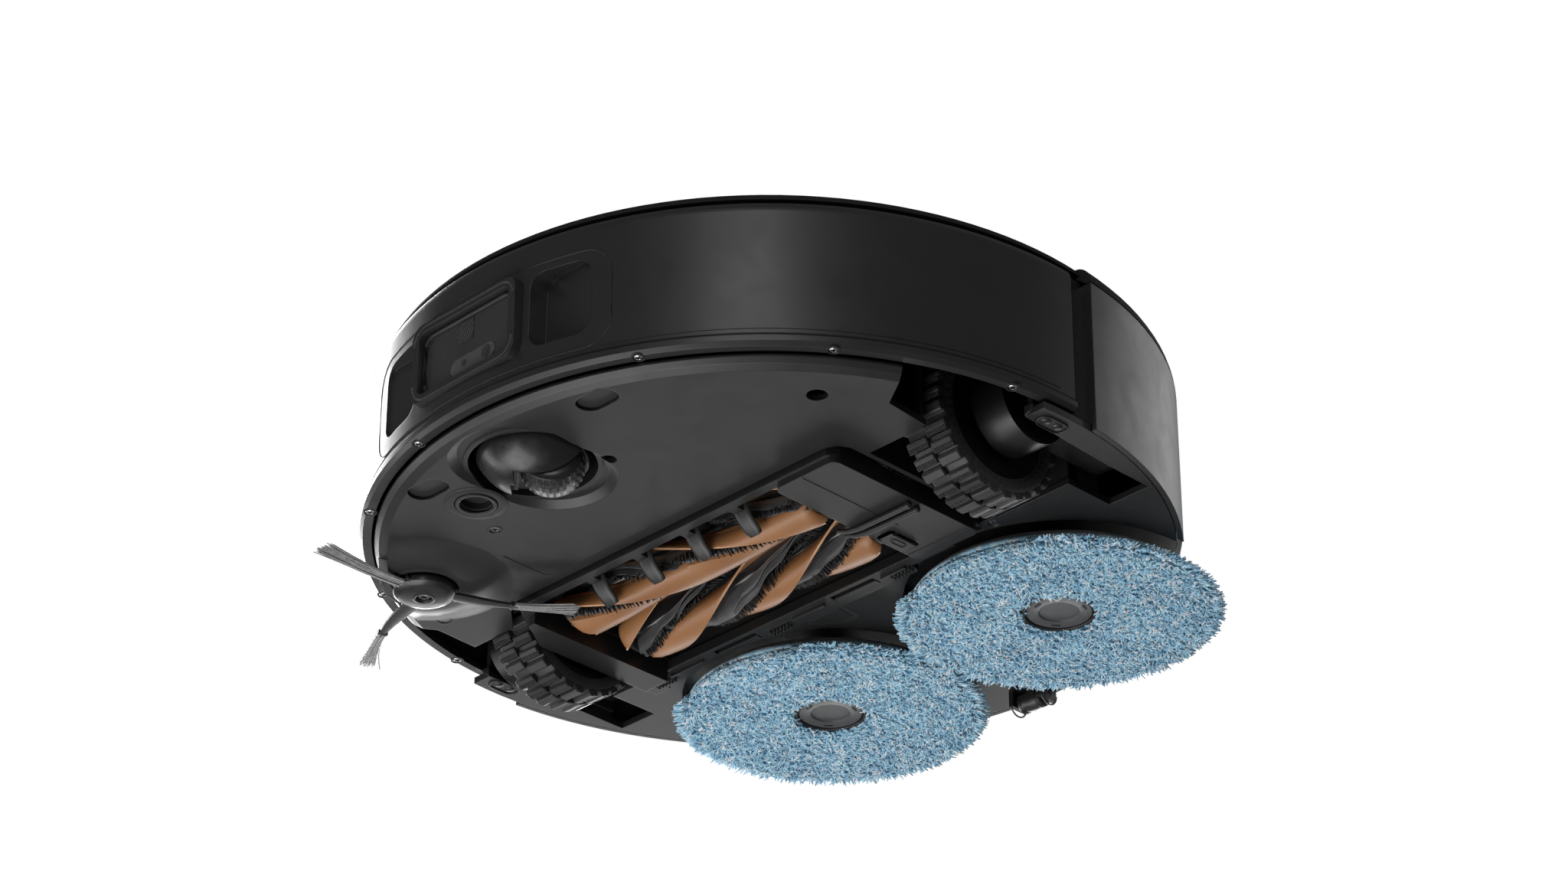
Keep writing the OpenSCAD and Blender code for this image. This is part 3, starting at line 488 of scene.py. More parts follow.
def rounded(x0, y0, x1, y1, r, n=6):
    corners = ((x1 - r, y1 - r, 0), (x0 + r, y1 - r, 90), (x0 + r, y0 + r, 180), (x1 - r, y0 + r, 270))
    return np.concatenate([circle(cx, cy, r, n, a, a + 90) for cx, cy, a in corners])


def closed(points):
    return np.vstack([points, points[:1]])


def level_loop(outline, z):
    """A closed loop along a plan outline, at one height."""
    return [(x, y, z) for x, y in closed(outline)]


def smooth_step(x, a, b):
    t = np.clip((np.asarray(x, float) - a) / (b - a), 0, 1)
    return t * t * (3 - 2 * t)


# ---------------------------------------------------------------- mop pads
(PAD_X0, _, PAD_Z0), (PAD_X1, _, PAD_Z1) = box("mop_pad_left")
PAD_X, PAD_Y, _ = middle_of("mop_pad_left")
PAD_R = (PAD_X1 - PAD_X0) / 2
PAD_HOLE = 17.8
TUFT_LENGTH = 4.8
FRINGE_R = 64.5  # tufts that reach past this radius stay below FRINGE_TOP, to clear the lifted pad's pocket
FRINGE_TOP = 12.0
GUARD_SIDE = 49.0  # in front of this y no tuft reaches past SHORT_FRINGE, to clear the guard's latch
SHORT_FRINGE = 66.2


def tufts(rng, count, cx, cy):
    """Short bent tufts of yarn, rooted in the pad's face and its rim and pointing out of it."""
    r = np.sqrt(rng.uniform((PAD_HOLE / PAD_R) ** 2, 1.0, count)) * PAD_R
    a = rng.uniform(0, 2 * math.pi, count)
    rim = rng.uniform(0, 1, count) < 0.2
    r[rim] = PAD_R - 0.6
    hole = rng.uniform(0, 1, count) < 0.02
    r[hole] = PAD_HOLE + 0.3
    out = np.column_stack([np.cos(a), np.sin(a), np.zeros(count)])
    root = np.column_stack([cx + r * np.cos(a), cy + r * np.sin(a), np.full(count, PAD_Z0 + 2.2)])
    root[rim, 2] = rng.uniform(PAD_Z0 + 1.2, PAD_Z0 + 4.8, rim.sum())
    lean = rng.normal(0, 0.55, (count, 3))
    grow = lean - (0, 0, 1)
    grow[rim] = out[rim] * 1.5 + lean[rim] * 0.8 - (0, 0, 0.35)
    grow[hole] = -out[hole] * 1.3 + lean[hole] * 0.6 - (0, 0, 0.5)
    grow /= np.linalg.norm(grow, axis=1)[:, None]
    size = rng.uniform(0.75, 1.2, count)[:, None] * TUFT_LENGTH
    size[rim] *= 1.25
    size[hole] *= 0.5
    bent = grow + rng.normal(0, 0.35, (count, 3))
    middle = root + grow * size * 0.55
    tip = middle + bent / np.linalg.norm(bent, axis=1)[:, None] * size * 0.5
    tip[:, 2] = np.clip(tip[:, 2], PAD_Z0 - 0.4, PAD_Z1 - 3.0)
    middle[:, 2] = np.clip(middle[:, 2], PAD_Z0 - 0.1, PAD_Z1 - 2.8)
    for point in (middle, tip):
        away = point[:, :2] - (cx, cy)
        reach = np.linalg.norm(away, axis=1)
        point[:, 2] = np.where(reach > FRINGE_R, np.minimum(point[:, 2], FRINGE_TOP), point[:, 2])
        limit = np.where(point[:, 1] < GUARD_SIDE, SHORT_FRINGE, np.inf)
        point[:, :2] = (cx, cy) + away * np.minimum(1.0, limit / reach)[:, None]
    side = np.cross(grow, rng.normal(0, 1, (count, 3)))
    side /= np.linalg.norm(side, axis=1)[:, None]
    other = np.cross(side, grow)
    width = rng.uniform(0.36, 0.58, count)[:, None]
    rings = []
    for point, k in ((root, 1.0), (middle, 1.25), (tip, 0.5)):
        for t in np.radians((0, 90, 180, 270)):
            rings.append(point + width * k * (math.cos(t) * side + math.sin(t) * other))
    verts = np.stack(rings, axis=1).reshape(-1, 3)
    pattern = []
    for row in (0, 4):
        for j in range(4):
            b, c = row + j, row + (j + 1) % 4
            pattern.append((b, c, c + 4, b + 4))
    pattern += [(8, 9, 10, 11), (3, 2, 1, 0)]
    faces = (np.array(pattern)[None] + len(rings) * np.arange(count)[:, None, None]).reshape(-1, 4)
    return verts, faces


def mop_pad(side, sign, seed):
    """A round cushion, slightly uneven at its rim, covered in tufts."""
    rng = np.random.default_rng(seed)
    centre = (sign * PAD_X, PAD_Y)

    def profile(t):
        puffed = PAD_R * (1 + 0.004 * math.sin(7 * t + seed) + 0.003 * math.sin(13 * t))
        return [
            (PAD_HOLE, PAD_Z0 + 5.2),
            (PAD_HOLE, PAD_Z0 + 3.0),
            (PAD_HOLE + 1.2, PAD_Z0 + 1.8),
            (PAD_HOLE + 6, PAD_Z0 + 1.1),
            (PAD_R * 0.6, PAD_Z0 + 1.2 + 0.3 * math.sin(5 * t)),
            (puffed * 0.93, PAD_Z0 + 1.2),
            (puffed * 0.98, PAD_Z0 + 2.2),
            (puffed, PAD_Z0 + 4.2),
            (puffed * 0.985, PAD_Z1 - 0.6),
            (PAD_R * 0.96, PAD_Z1 - 0.1),
            (PAD_HOLE + 1, PAD_Z1 - 0.1),
        ]

    bag = Bag()
    bag.lathe(profile, (*centre, 0), "Z", 120)
    bag.add(*tufts(rng, 9500, *centre))
    obj = new_object(f"mop_cloth_{side}", bag, PILE)
    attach(obj, f"{side}_mop")
    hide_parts(f"mop_pad_{side}")


mop_pad("left", 1, 11)
mop_pad("right", -1, 29)


# ---------------------------------------------------------------- floor rollers
ROLL_X0, ROLL_X1 = (corner[0] for corner in box("front_roller_fins"))
ROLL_Z = middle_of("rear_roller_core")[2]
ROLL_R = 18.0
CORE_R = 8.0
EDGE_TURN = 39


class Fin:
    """The line of a fin's free edge, which the vanes and bristles beside it follow.

    It winds at slope degrees a millimetre, and passes EDGE_TURN at x = cross. width(d) says how
    many degrees the fin reaches behind its edge at the distance d from there.
    """

    def __init__(self, axis_y, slope, cross, width):
        self.axis_y, self.slope, self.cross, self.width = axis_y, slope, cross, width

    def edge(self, x):
        return EDGE_TURN + self.slope * (x - self.cross)

    def behind(self, x):
        return self.width(x - self.cross)

    def at(self, x, turn, r):
        """A point of the roller: turn goes from straight down towards the rear."""
        t = math.radians(turn)
        return np.array([x, self.axis_y + r * math.sin(t), ROLL_Z - r * math.cos(t)])


def petal(bag, rim, fin):
    """One copper fin, with a rounded bead along its free edge in a lighter copper, a painted highlight."""
    top, bottom = [], []
    xs = np.linspace(ROLL_X0 + 0.5, ROLL_X1 - 0.5, 76)
    section = ((0.0, 18.0), (0.06, 17.95), (0.25, 17.75), (0.5, 17.2), (0.75, 16.3), (1.0, 14.9))
    root = ((5, 12.6), (8, 9.8), (9, 7.8))
    for x in xs:
        edge = fin.edge(x)
        w = max(7.0, fin.behind(x))
        full = 0.6 + 0.4 * min(1.0, (x - xs[0]) / 4 + 0.35, (xs[-1] - x) / 4 + 0.35)
        shape = [(edge - w * k, r) for k, r in section]
        shape += [(edge - w - back, r) for back, r in root]
        outer, inner = [], []
        for k, (turn, r) in enumerate(shape):
            r = CORE_R + (r - CORE_R) * full
            outer.append(fin.at(x, turn, r))
            inner.append(fin.at(x, turn - (1.5 if k > 5 else 0), r - (1 if k else 0.45)))
        top.append(outer)
        bottom.append(inner)
    bag.slab(top, bottom)
    # The bead is made in the lighter copper: painted highlight along the free edge.
    rim.tube([fin.at(x, fin.edge(x) - 1.2, ROLL_R - 0.55) for x in xs[1:-1]], 0.5, 6)


def vane(bag, fin, offset, reach):
    """A soft thin vane on the core, leaning away from the fin beside it."""
    top, bottom = [], []
    foot = CORE_R * 0.95
    for x in np.linspace(ROLL_X0 + 1, ROLL_X1 - 1, 60):
        wave = 3.0 * math.sin(0.26 * x + offset)
        line = []
        for f in np.linspace(0, 1, 5):
            turn = fin.edge(x) - offset + 16 * f * f + wave * f
            line.append((turn, 2.6 - 1.6 * f, foot + (reach - foot) * f))
        top.append([fin.at(x, turn + half, r) for turn, half, r in line])
        bottom.append([fin.at(x, turn - half, r) for turn, half, r in line])
    bag.slab(top, bottom)


def bristle_row(bag, rng, fin, reach, pitch=2.1):
    """Tufts of nylon set in a winding row behind the fin, raked over like a comb."""
    for x in np.arange(ROLL_X0 + 3, ROLL_X1 - 3, pitch):
        base = fin.edge(x) - min(80, max(44, fin.behind(x) + 16))
        for _ in range(4):
            dx, da = rng.uniform(-0.7, 0.7), rng.uniform(-3, 3)
            lean = rng.uniform(1, 9)
            points = [
                fin.at(x + dx, base + da, CORE_R * 0.9),
                fin.at(x + dx + 1.4, base + da + lean * 0.45, (CORE_R + reach) / 2),
                fin.at(x + dx + 3.8, base + da + lean, reach * rng.uniform(0.93, 1.0)),
            ]
            bag.tube(points, [0.5, 0.46, 0.2], 4)


def roller_core(bag, fin):
    """The polished core: a spindle with a winding rib under each fin, and collars at its ends."""
    rings = []
    for x in np.linspace(ROLL_X0, ROLL_X1, 91):
        ring = []
        for turn in range(0, 360, 10):
            phase = math.radians(4 * (turn - fin.slope * (x - fin.cross)))
            ring.append(fin.at(x, turn, CORE_R - 0.9 + 0.6 * max(0.0, math.cos(phase)) ** 2))
        rings.append(ring)
    bag.loft(rings)
    bore, collar = 0.5, 12.8
    for x0, x1 in ((ROLL_X0 - 0.4, ROLL_X0 + 2.2), (ROLL_X1 - 2.2, ROLL_X1 + 0.4)):
        profile = [
            (bore, x0), (collar - 0.8, x0), (collar, x0 + 0.6),
            (collar, x1 - 0.6), (collar - 0.8, x1), (bore, x1),
        ]
        bag.lathe(profile, (0, fin.axis_y, ROLL_Z), "X", 40)


def floor_roller(name, slope, crossings, widths, seed):
    rng = np.random.default_rng(seed)
    axis_y = middle_of(f"{name}_roller_fins")[1]
    petals, edge_highlights, vanes, combs, core = Bag(), Bag(), Bag(), Bag(), Bag()
    fins = [Fin(axis_y, slope, cross, width) for cross, width in zip(crossings, widths)]
    for fin in fins:
        petal(petals, edge_highlights, fin)
        vane(vanes, fin, 62, 14.8)
        vane(vanes, fin, 74, 13.8)
        bristle_row(combs, rng, fin, 17.2)
    roller_core(core, fins[0])
    body = f"{name}_roller"
    piece(f"{body}_petals", petals, body, COPPER, (f"{body}_fins",), 50)
    # The beads in the lighter copper are a painted highlight.
    piece(f"{body}_rims", edge_highlights, body, COPPER_HIGHLIGHT, angle=60)
    piece(f"{body}_vanes", vanes, body, SOFT_GREY, angle=50)
    piece(f"{body}_comb", combs, body, NYLON, angle=60)
    piece(f"{body}_spindle", core, body, GLOSS)


def front_width(late):
    return lambda d: 8 + 48 * float(smooth_step(d, -62 + late, 8 + late))


def rear_width(wide):
    return lambda d: 8 + wide * float(1 - smooth_step(d, 4, 58))


floor_roller("front", 1.22, (-88, -14, 60, 134), [front_width(late) for late in (-8, 0, 0, 0)], 5)
floor_roller("rear", -1.58, (-76, -19, 38, 95), [rear_width(wide) for wide in (34, 22, 34, 32)], 6)


# ---------------------------------------------------------------- drive wheels
(WHEEL_X0, _, WHEEL_Z0), (WHEEL_X1, _, WHEEL_Z1) = box("tyre_left")
_, WHEEL_Y, WHEEL_Z = middle_of("tyre_left")
WHEEL_R = (WHEEL_Z1 - WHEEL_Z0) / 2
HUB = (0, WHEEL_Y, WHEEL_Z)
DISH_X = WHEEL_X1 - 1.2


def on_wheel(x, turn, r):
    t = math.radians(turn)
    return (x, WHEEL_Y + r * math.sin(t), WHEEL_Z - r * math.cos(t))


def tread_block(bag, x0, x1, turn, half, base, top):
    """A tread bar across part of the tyre, its crest rounded and its flanks sloped."""
    rings = []
    for x, drop in ((x0, 0.44), (x0 + 0.5, 0.0), (x1 - 0.5, 0.0), (x1, 0.44)):
        crest = top - drop
        flank = ((1.25, base), (1.0, crest - 0.5), (0.7, crest))
        ring = [on_wheel(x, turn - half * k, r) for k, r in flank]
        ring += [on_wheel(x, turn + half * k, r) for k, r in flank[::-1]]
        rings.append(ring)
    bag.loft(rings)


def tyre(side, sign):
    """Two columns of bars, two in three of them with a fine comb beside them, and a scalloped rim."""
    bag = Bag()
    r, x0, x1 = WHEEL_R, WHEEL_X0, WHEEL_X1
    mid = (x0 + x1) / 2
    carcass = [
        (r - 8.5, x0 + 0.3), (r - 4.2, x0), (r - 3.0, x0 + 0.6), (r - 2.4, x0 + 1.8),
        (r - 2.4, mid - 0.5), (r - 3.0, mid), (r - 2.4, mid + 0.5),
        (r - 2.4, x1 - 1.8), (r - 3.0, x1 - 0.6), (r - 4.2, x1), (r - 8.5, x1 - 0.3), (r - 8.8, mid),
    ]
    bag.lathe(carcass, HUB, "X", 96)
    bars, teeth = 30, 13
    for column, (a, b) in enumerate(((x0 + 0.2, mid - 0.4), (mid + 0.4, x1 - 0.2))):
        for i in range(bars):
            turn = (i + 0.5 * column) * 360 / bars
            combed = (i + column) % 3 != 0
            half = 2.1 if combed else 3.6
            tread_block(bag, a, b, turn, half, r - 2.7, r - 0.1)
            for k in range(teeth if combed else 0):
                x = a + (b - a) * (k + 0.5) / teeth
                w = (b - a) / teeth * 0.26
                tread_block(bag, x - w, x + w, turn + half + 1.5, 1.9, r - 2.8, r - 0.3)
    for i in range(48):
        tread_block(bag, x1 - 1, x1 + 0.05, i * 7.5, 1.7, r - 7.5, r - 4)
    bag.mirrored(sign)
    piece(f"drive_tyre_{side}", bag, f"{side}_wheel", TREAD, (f"tyre_{side}",), 35)


def wheel_dish(side, sign):
    """The dished disc inside the tyre, with six ribs, and its two lips in a lighter black, a painted
    highlight.
    """
    dish, lips = Bag(), Bag()
    x = DISH_X
    profile = [
        (27.5, x), (27.2, x - 0.8), (26.2, x - 6.0), (22.5, x - 9.8), (11.0, x - 10.8), (10.0, x - 7.5),
        (8.0, x - 6.6), (4.2, x - 6.6), (4.2, x - 12.0), (27.2, x - 12.0), (27.8, x - 8.0),
    ]
    dish.lathe(profile, HUB, "X", 72)
    for i in range(6):
        rib = [on_wheel(x - 10.4, i * 60 + 15 + 4 * k, 10.8 + 3.5 * k) for k in range(5)]
        dish.tube(rib, [1.3, 1.2, 1.1, 1.1, 1.4], 8)
    dish.mirrored(sign)
    piece(f"wheel_dish_{side}", dish, f"{side}_wheel", WELL_BLACK_AND_SHADE, angle=35)
    # The two lips are drawn in a lighter black: painted highlight on the dish's rims.
    for r, at, w in ((27.2, x + 0.1, 0.6), (23.6, x - 9.0, 0.5)):
        lips.lathe(circle(r, at, w, 9), HUB, "X", 96)
    lips.mirrored(sign)
    piece(f"wheel_lip_highlights_{side}", lips, f"{side}_wheel", RIM_HIGHLIGHT, angle=50)


for wheel_side, wheel_sign in SIDES:
    tyre(wheel_side, wheel_sign)
    wheel_dish(wheel_side, wheel_sign)


# ---------------------------------------------------------------- screws
def phillips(heads, slot_shades, x, y, z, r, turn):
    """A cross-head screw facing down at z: a washer face, a rounded head and its cross, the cross a matt
    black solid where the recess is, a painted shade.
    """
    profile = [
        (0.4, z + 0.6), (r * 0.30, z + 0.5), (r * 0.42, z + 0.08), (r * 0.60, z),
        (r * 0.85, z + 0.22), (r * 0.97, z + 0.6), (r, z + 1.1), (0.4, z + 1.1),
    ]
    heads.lathe(profile, (x, y, 0), "Z", 28)
    # The cross is a dark solid where the recess would be: painted shade.
    for k in range(2):
        a = math.radians(turn + 90 * k)
        c, s = math.cos(a), math.sin(a)
        h, w = r * 0.62, r * 0.13
        outline = [(h, w * 0.6), (h, -w * 0.6), (0, -w * 1.3), (-h, -w * 0.6), (-h, w * 0.6), (0, w * 1.3)]
        outline = [(x + c * u - s * v, y + s * u + c * v) for u, v in outline]
        slot_shades.prism(outline, z - 0.08, z + 0.4)


def spots_of(node):
    """The middle of each separate screw in a CAD node, seen in plan."""
    seen = []
    for vertex in NODES[node].data.vertices:
        x, y = vertex.co.x / MM, vertex.co.y / MM
        for s in seen:
            if math.hypot(s[0] / s[2] - x, s[1] / s[2] - y) < 8:
                s[0] += x
                s[1] += y
                s[2] += 1
                break
        else:
            seen.append([x, y, 1])
    return [(s[0] / s[2], s[1] / s[2]) for s in seen]


def screw_set(name, body, face, r):
    """The screws of one CAD node, each in a dark cup sunk in the face at that height."""
    node = f"{name}s"
    spots = spots_of(node)
    rng = random.Random(len(spots))
    heads, slot_shades = Bag(), Bag()
    cup = [(r * 1.06, face + 0.3), (r * 1.1, face - 0.12), (r * 1.42, face - 0.1), (r * 1.5, face + 0.3)]
    for x, y in spots:
        phillips(heads, slot_shades, x, y, box(node)[0][2], r, rng.uniform(0, 90))
        slot_shades.lathe(cup, (x, y, 0), "Z", 32)
    piece(f"{name}_heads", heads, body, SCREW, (node,), 30)
    # The crosses in matt black are painted shade; the cups are black plastic like the plate.
    piece(f"{name}_slots", slot_shades, body, MATT)


screw_set("base_screw", "chassis", 21.0, 2.5)
screw_set("bumper_screw", "bumper", 26.2, 2.1)


# ---------------------------------------------------------------- side brush
BX, BY, _ = middle_of("side_brush_hub")
(_, _, BZ), (_, _, BRUSH_TOP) = box("side_brush_hub")
ARMS = ((160, 75, True), (273, 60, False), (57, 68, True))  # turn, reach, held by a strap
POD_Z = 16.6
NOSE_R = 163.6


def brush_hub():
    """The dome, with two cuffs at the root of each arm and a screw in its middle."""
    bag = Bag()
    profile = [
        (3.4, BZ + 1.6), (3.6, BZ + 0.2), (4.2, BZ), (4.8, BZ + 0.3), (5.4, BZ + 0.35),
        (9.5, BZ + 0.6), (12.0, BZ + 1.4), (13.4, BZ + 2.6), (13.9, BZ + 4.2), (13.7, BZ + 5.2),
        (13.0, BZ + 5.5), (13.0, BRUSH_TOP - 1), (12.6, BRUSH_TOP), (3.4, BRUSH_TOP),
    ]
    bag.lathe(profile, (BX, BY, 0), "Z", 72)
    for turn, _, _ in ARMS:
        out, left = axes_at(turn)
        for k in (-4.2, 4.2):
            start = np.array((BX, BY, BZ + 3.6)) + out * 11.5 + left * k
            bag.tube([start, start + out * 1.2, start + out * 3.0], [1.3, 1.2, 1.0], 8)
    piece("brush_dome", bag, "side_brush", HOUSING, ("side_brush_hub",), 30)
    heads, slot_shades = Bag(), Bag()
    phillips(heads, slot_shades, BX, BY, BZ + 0.8, 3.1, 20)
    piece("brush_screw_head", heads, "side_brush", SCREW, angle=30)
    # The cross in matt black is a painted shade.
    piece("brush_screw_slot_shade", slot_shades, "side_brush", MATT)


def arm_line(turn, reach, bow):
    """The middle line of an arm as a function of 0 to 1, bowed sideways and drooping."""
    out, left = axes_at(turn)

    def point(f):
        side = bow * math.sin(math.pi * f) * (1 - 0.4 * f)
        return np.array((BX, BY, 14.7 - 1.2 * f * f)) + out * (10 + (reach - 10) * f) + left * side

    return point, left


def brush_strap(bag, point, left):
    """A flat rubber strap along the inner half of an arm, with a bead at its end."""
    top, bottom = [], []
    for f in np.linspace(0, 0.54, 14):
        w = 3.1 - 1.2 * f / 0.54 + 0.4 * math.sin(9 * f)
        h = 1.3 - 0.4 * f
        across = np.linspace(-1, 1, 7)
        top.append([point(f) + left * w * u - (0, 0, h * (1 - 0.45 * u * u)) for u in across])
        bottom.append([point(f) + left * w * u + (0, 0, h * (1 - 0.45 * u * u)) for u in across])
    bag.slab(top, bottom)
    end = point(0.5)
    bag.tube([end - left * 2.2, end, end + left * 2.2], [1.2, 1.4, 1.2], 10)


def brush_arms():
    rng = np.random.default_rng(7)
    straps, hairs = Bag(), Bag()
    for turn, reach, strapped in ARMS:
        point, left = arm_line(turn, reach, 4.5 if strapped else -2)
        first, half = (0.5, 1.7) if strapped else (0.0, 2.7)
        if strapped:
            brush_strap(straps, point, left)
        for _ in range(46):
            u, v = rng.uniform(-1, 1), rng.uniform(-1, 1)
            fan = rng.normal(0, 0.35)
            hair = []
            for f in np.linspace(first, rng.uniform(0.93, 1.0), 8):
                g = (f - first) / (1 - first)
                across = u * (half + 1.4 * g * g) + fan * 4.6 * g * g
                hair.append(point(f) + left * across + (0, 0, v * 0.9 * (1 - 0.3 * g) - 0.2 * g))
            hairs.tube(hair, np.linspace(0.34, 0.2, len(hair)), 5)
    piece("brush_straps", straps, "side_brush", STRAP, ("side_brush_arms",), 35)
    piece("brush_hairs", hairs, "side_brush", GREY_BRISTLE, ("side_brush_bristles",), 60)


def pod_swell():
    """The smooth swelling under which the side brush turns, with the dark groove round its hub."""
    bag = Bag()
    rings = [[] for _ in range(13)]
    for j in range(96):
        out, _ = axes_at(j * 3.75)
        along = BX * out[0] + BY * out[1]
        edge = -along + math.sqrt(along * along - (BX * BX + BY * BY) + NOSE_R**2)
        last = min(40.0, edge)
        for i, ring in enumerate(rings[:-1]):
            r = 17.6 + (last - 17.6) * i / 11
            ring.append(out * r + (BX, BY, POD_Z + 4.5 * smooth_step(r, 19, 40)))
        rings[-1].append(out * last + (BX, BY, 21.2))
    bag.loft(rings, caps=False)
    piece("brush_pod_swell", bag, "chassis", UNDER)
    groove = Bag()
    profile = [(14.8, 17.2), (15.0, 16.8), (17.4, 16.5), (18.1, 16.8), (18.2, 17.5), (15.0, 17.8)]
    groove.lathe(profile, (BX, BY, 0), "Z", 72)
    piece("brush_pod_groove", groove, "chassis", MATT, angle=35)


brush_hub()
brush_arms()
pod_swell()


# ---------------------------------------------------------------- caster
JOINTS = {joint["name"]: joint for joint in frame["joints"]}
CASTER_AT = np.array(JOINTS["caster_roll"]["pos_m"]) / MM
AXLE = np.array(JOINTS["caster_roll"]["axis"], float)
AXLE /= np.linalg.norm(AXLE)
ROLL = np.array((-AXLE[1], AXLE[0], 0.0))
PIVOT = np.array((*JOINTS["caster_swivel"]["pos_m"][:2], 0.0)) / MM
DOME_R = 23.6
DOME_Z, DOME_TOP = 12.1, 26.2
BARREL_R = 13.95


def on_caster(u, v, z):
    """A point beside the wheel: u along its rolling direction, v along its axle, z up."""
    x, y, _ = CASTER_AT + ROLL * u + AXLE * v
    return (x, y, z)


def carve(obj, cutter):
    """Cuts the closed forms of a bag out of a piece, and keeps the result as its mesh."""
    tool = new_object("cutter", cutter)
    clean(tool.data)
    cut = obj.modifiers.new("Cut", "BOOLEAN")
    cut.operation = "DIFFERENCE"
    cut.solver = "EXACT"
    cut.object = tool
    bpy.context.view_layer.update()
    graph = bpy.context.evaluated_depsgraph_get()
    made = bpy.data.meshes.new_from_object(obj.evaluated_get(graph))
    obj.modifiers.clear()
    obj.data = made
    made.shade_smooth()
    made.set_sharp_from_angle(angle=math.radians(35))
    bpy.data.objects.remove(tool)


def caster_housing():
    """A smooth swivelling dome, cut away on its far side where the wheel comes out."""
    bag, slot, opening, cheek = Bag(), Bag(), Bag(), Bag()
    profile = [(0.0, DOME_TOP), (0.0, DOME_Z)]
    for k in range(1, 15):
        profile.append((DOME_R * k / 14, DOME_Z + 12.5 * (k / 14) ** 3.2))
    bag.lathe(profile + [(DOME_R, DOME_TOP)], tuple(PIVOT), "Z", 96)
    obj = piece("caster_dome", bag, "caster", HOUSING, ("caster_fork",), 30)
    half = 15.2
    mouth = []
    for a in np.linspace(0, math.pi, 33):
        mouth.append((-half * math.cos(a), CASTER_AT[2] - 0.4 + half * math.sin(a) * 0.08))
    mouth += [(half, 2), (-half, 2)]
    slot.loft([[on_caster(u, v, z) for u, z in mouth] for v in (9.8, -50)])
    carve(obj, slot)
    plan = ((-16.8, 0.5), (50, 6.5), (50, -50), (-16.8, -50))
    opening.loft([[on_caster(u, v, z) for u, v in plan] for z in (2, 22.5)])
    carve(obj, opening)
    disc = circle(0, 24, 8.5, 30)
    cheek.loft([[on_caster(u, v, z) for u, z in disc] for v in (-12.2, -9.8)])
    piece("caster_far_cheek", cheek, "caster", MATT, angle=35)


def caster_roller():
    """A barrel-shaped wheel with four rows of moulded dashes."""
    bag = Bag()
    crown, half = 0.9, 7.4
    barrel = [(3.0, -8.6), (10.5, -8.6), (12.0, -8.0)]
    for f in np.linspace(-1, 1, 9):
        barrel.append((BARREL_R - crown * f * f, half * f))
    barrel += [(12.0, 8.0), (10.5, 8.6), (3.0, 8.6)]
    bag.lathe(barrel, (0, 0, 0), "Z", 64)
    for row, (z, w) in enumerate(((-4.6, 1.8), (-1.4, 1.2), (1.8, 1.2), (5.0, 1.8))):
        r = BARREL_R - crown * (z / half) ** 2
        for i in range(30):
            out, along = axes_at(i * 12 + 6 * (row % 2))
            corners = ((0.5, -w), (-0.5, -w), (-0.5, w), (0.5, w))
            foot = [out * (r - 0.4) + along * t + (0, 0, z + up) for t, up in corners]
            bag.loft([foot, [point + out * 0.48 for point in foot]])
    bag.placed(np.column_stack([ROLL, np.cross(AXLE, ROLL), AXLE]), CASTER_AT)
    piece("caster_barrel", bag, "caster_roller", HOUSING, ("caster_wheel",), 35)


caster_housing()
caster_roller()


# ---------------------------------------------------------------- mop hubs
def mop_hub(side, sign):
    """The grey disc in the pad's hole, in a dark rim with three notches."""
    bag, rim = Bag(), Bag()
    centre = (sign * PAD_X, PAD_Y, 0)
    z = PAD_Z1
    disc = [
        (0.0, z - 4.0), (8.8, z - 4.0), (9.1, z - 4.6), (9.8, z - 4.9), (14.2, z - 4.9),
        (14.7, z - 4.4), (14.8, z - 0.1), (0.0, z - 0.1),
    ]
    bag.lathe(disc, centre, "Z", 72)
    edge = [
        (14.9, z - 0.1), (14.9, z - 5.0), (15.3, z - 5.5),
        (16.4, z - 5.5), (16.9, z - 4.9), (17.2, z - 0.1),
    ]
    rim.lathe(edge, centre, "Z", 72)
    for turn in (20, 140, 260):
        x, y, _ = centre + axes_at(turn)[0] * 11.8
        rim.prism(pill(x, y, 4.2, 1.1, 6, turn + 90), z - 5.1, z - 4.2)
    piece(f"mop_hub_disc_{side}", bag, f"{side}_mop", HUB_GREY, angle=35)
    piece(f"mop_hub_rim_{side}", rim, f"{side}_mop", MATT, angle=35)


for hub_side, hub_sign in SIDES:
    mop_hub(hub_side, hub_sign)


# ---------------------------------------------------------------- brush guard
def ribbon(bag, path, widths, thick):
    """A moulded strap: path gives its (y, z) points, and widths the middle x and half width there."""
    top, bottom = [], []
    path = np.array(path)
    along = np.gradient(path, axis=0)
    along /= np.linalg.norm(along, axis=1)[:, None]
    across = np.linspace(-1, 1, 9)
    heights = [thick / 2 * math.sqrt(max(0.05, 1 - u**6)) for u in across]
    for (y, z), (ty, tz), (x, w) in zip(path, along, widths):
        top.append([(x + w * u, y - tz * h, z + ty * h) for u, h in zip(across, heights)])
        bottom.append([(x + w * u, y + tz * h, z - ty * h) for u, h in zip(across, heights)])
    bag.slab(top, bottom)


def guard_hooks():
    """Broad curved fingers that reach from the front rim of the guard under the front roller."""
    bag = Bag()
    bend = 20.2
    for x in (-60, -30.5, -1, 28.5):
        path, widths = [], []
        for f in np.linspace(0, 1, 15):
            a = math.radians(-74 + 48 * f)
            path.append((-26.8 + bend * math.sin(a), 30 - bend * math.cos(a)))
            widths.append((x, 4.5 - 0.3 * f - 0.8 * smooth_step(f, 0.9, 1.0)))
        ribbon(bag, path, widths, 2.7)
    piece("guard_hooks", bag, "guard", UNDER)


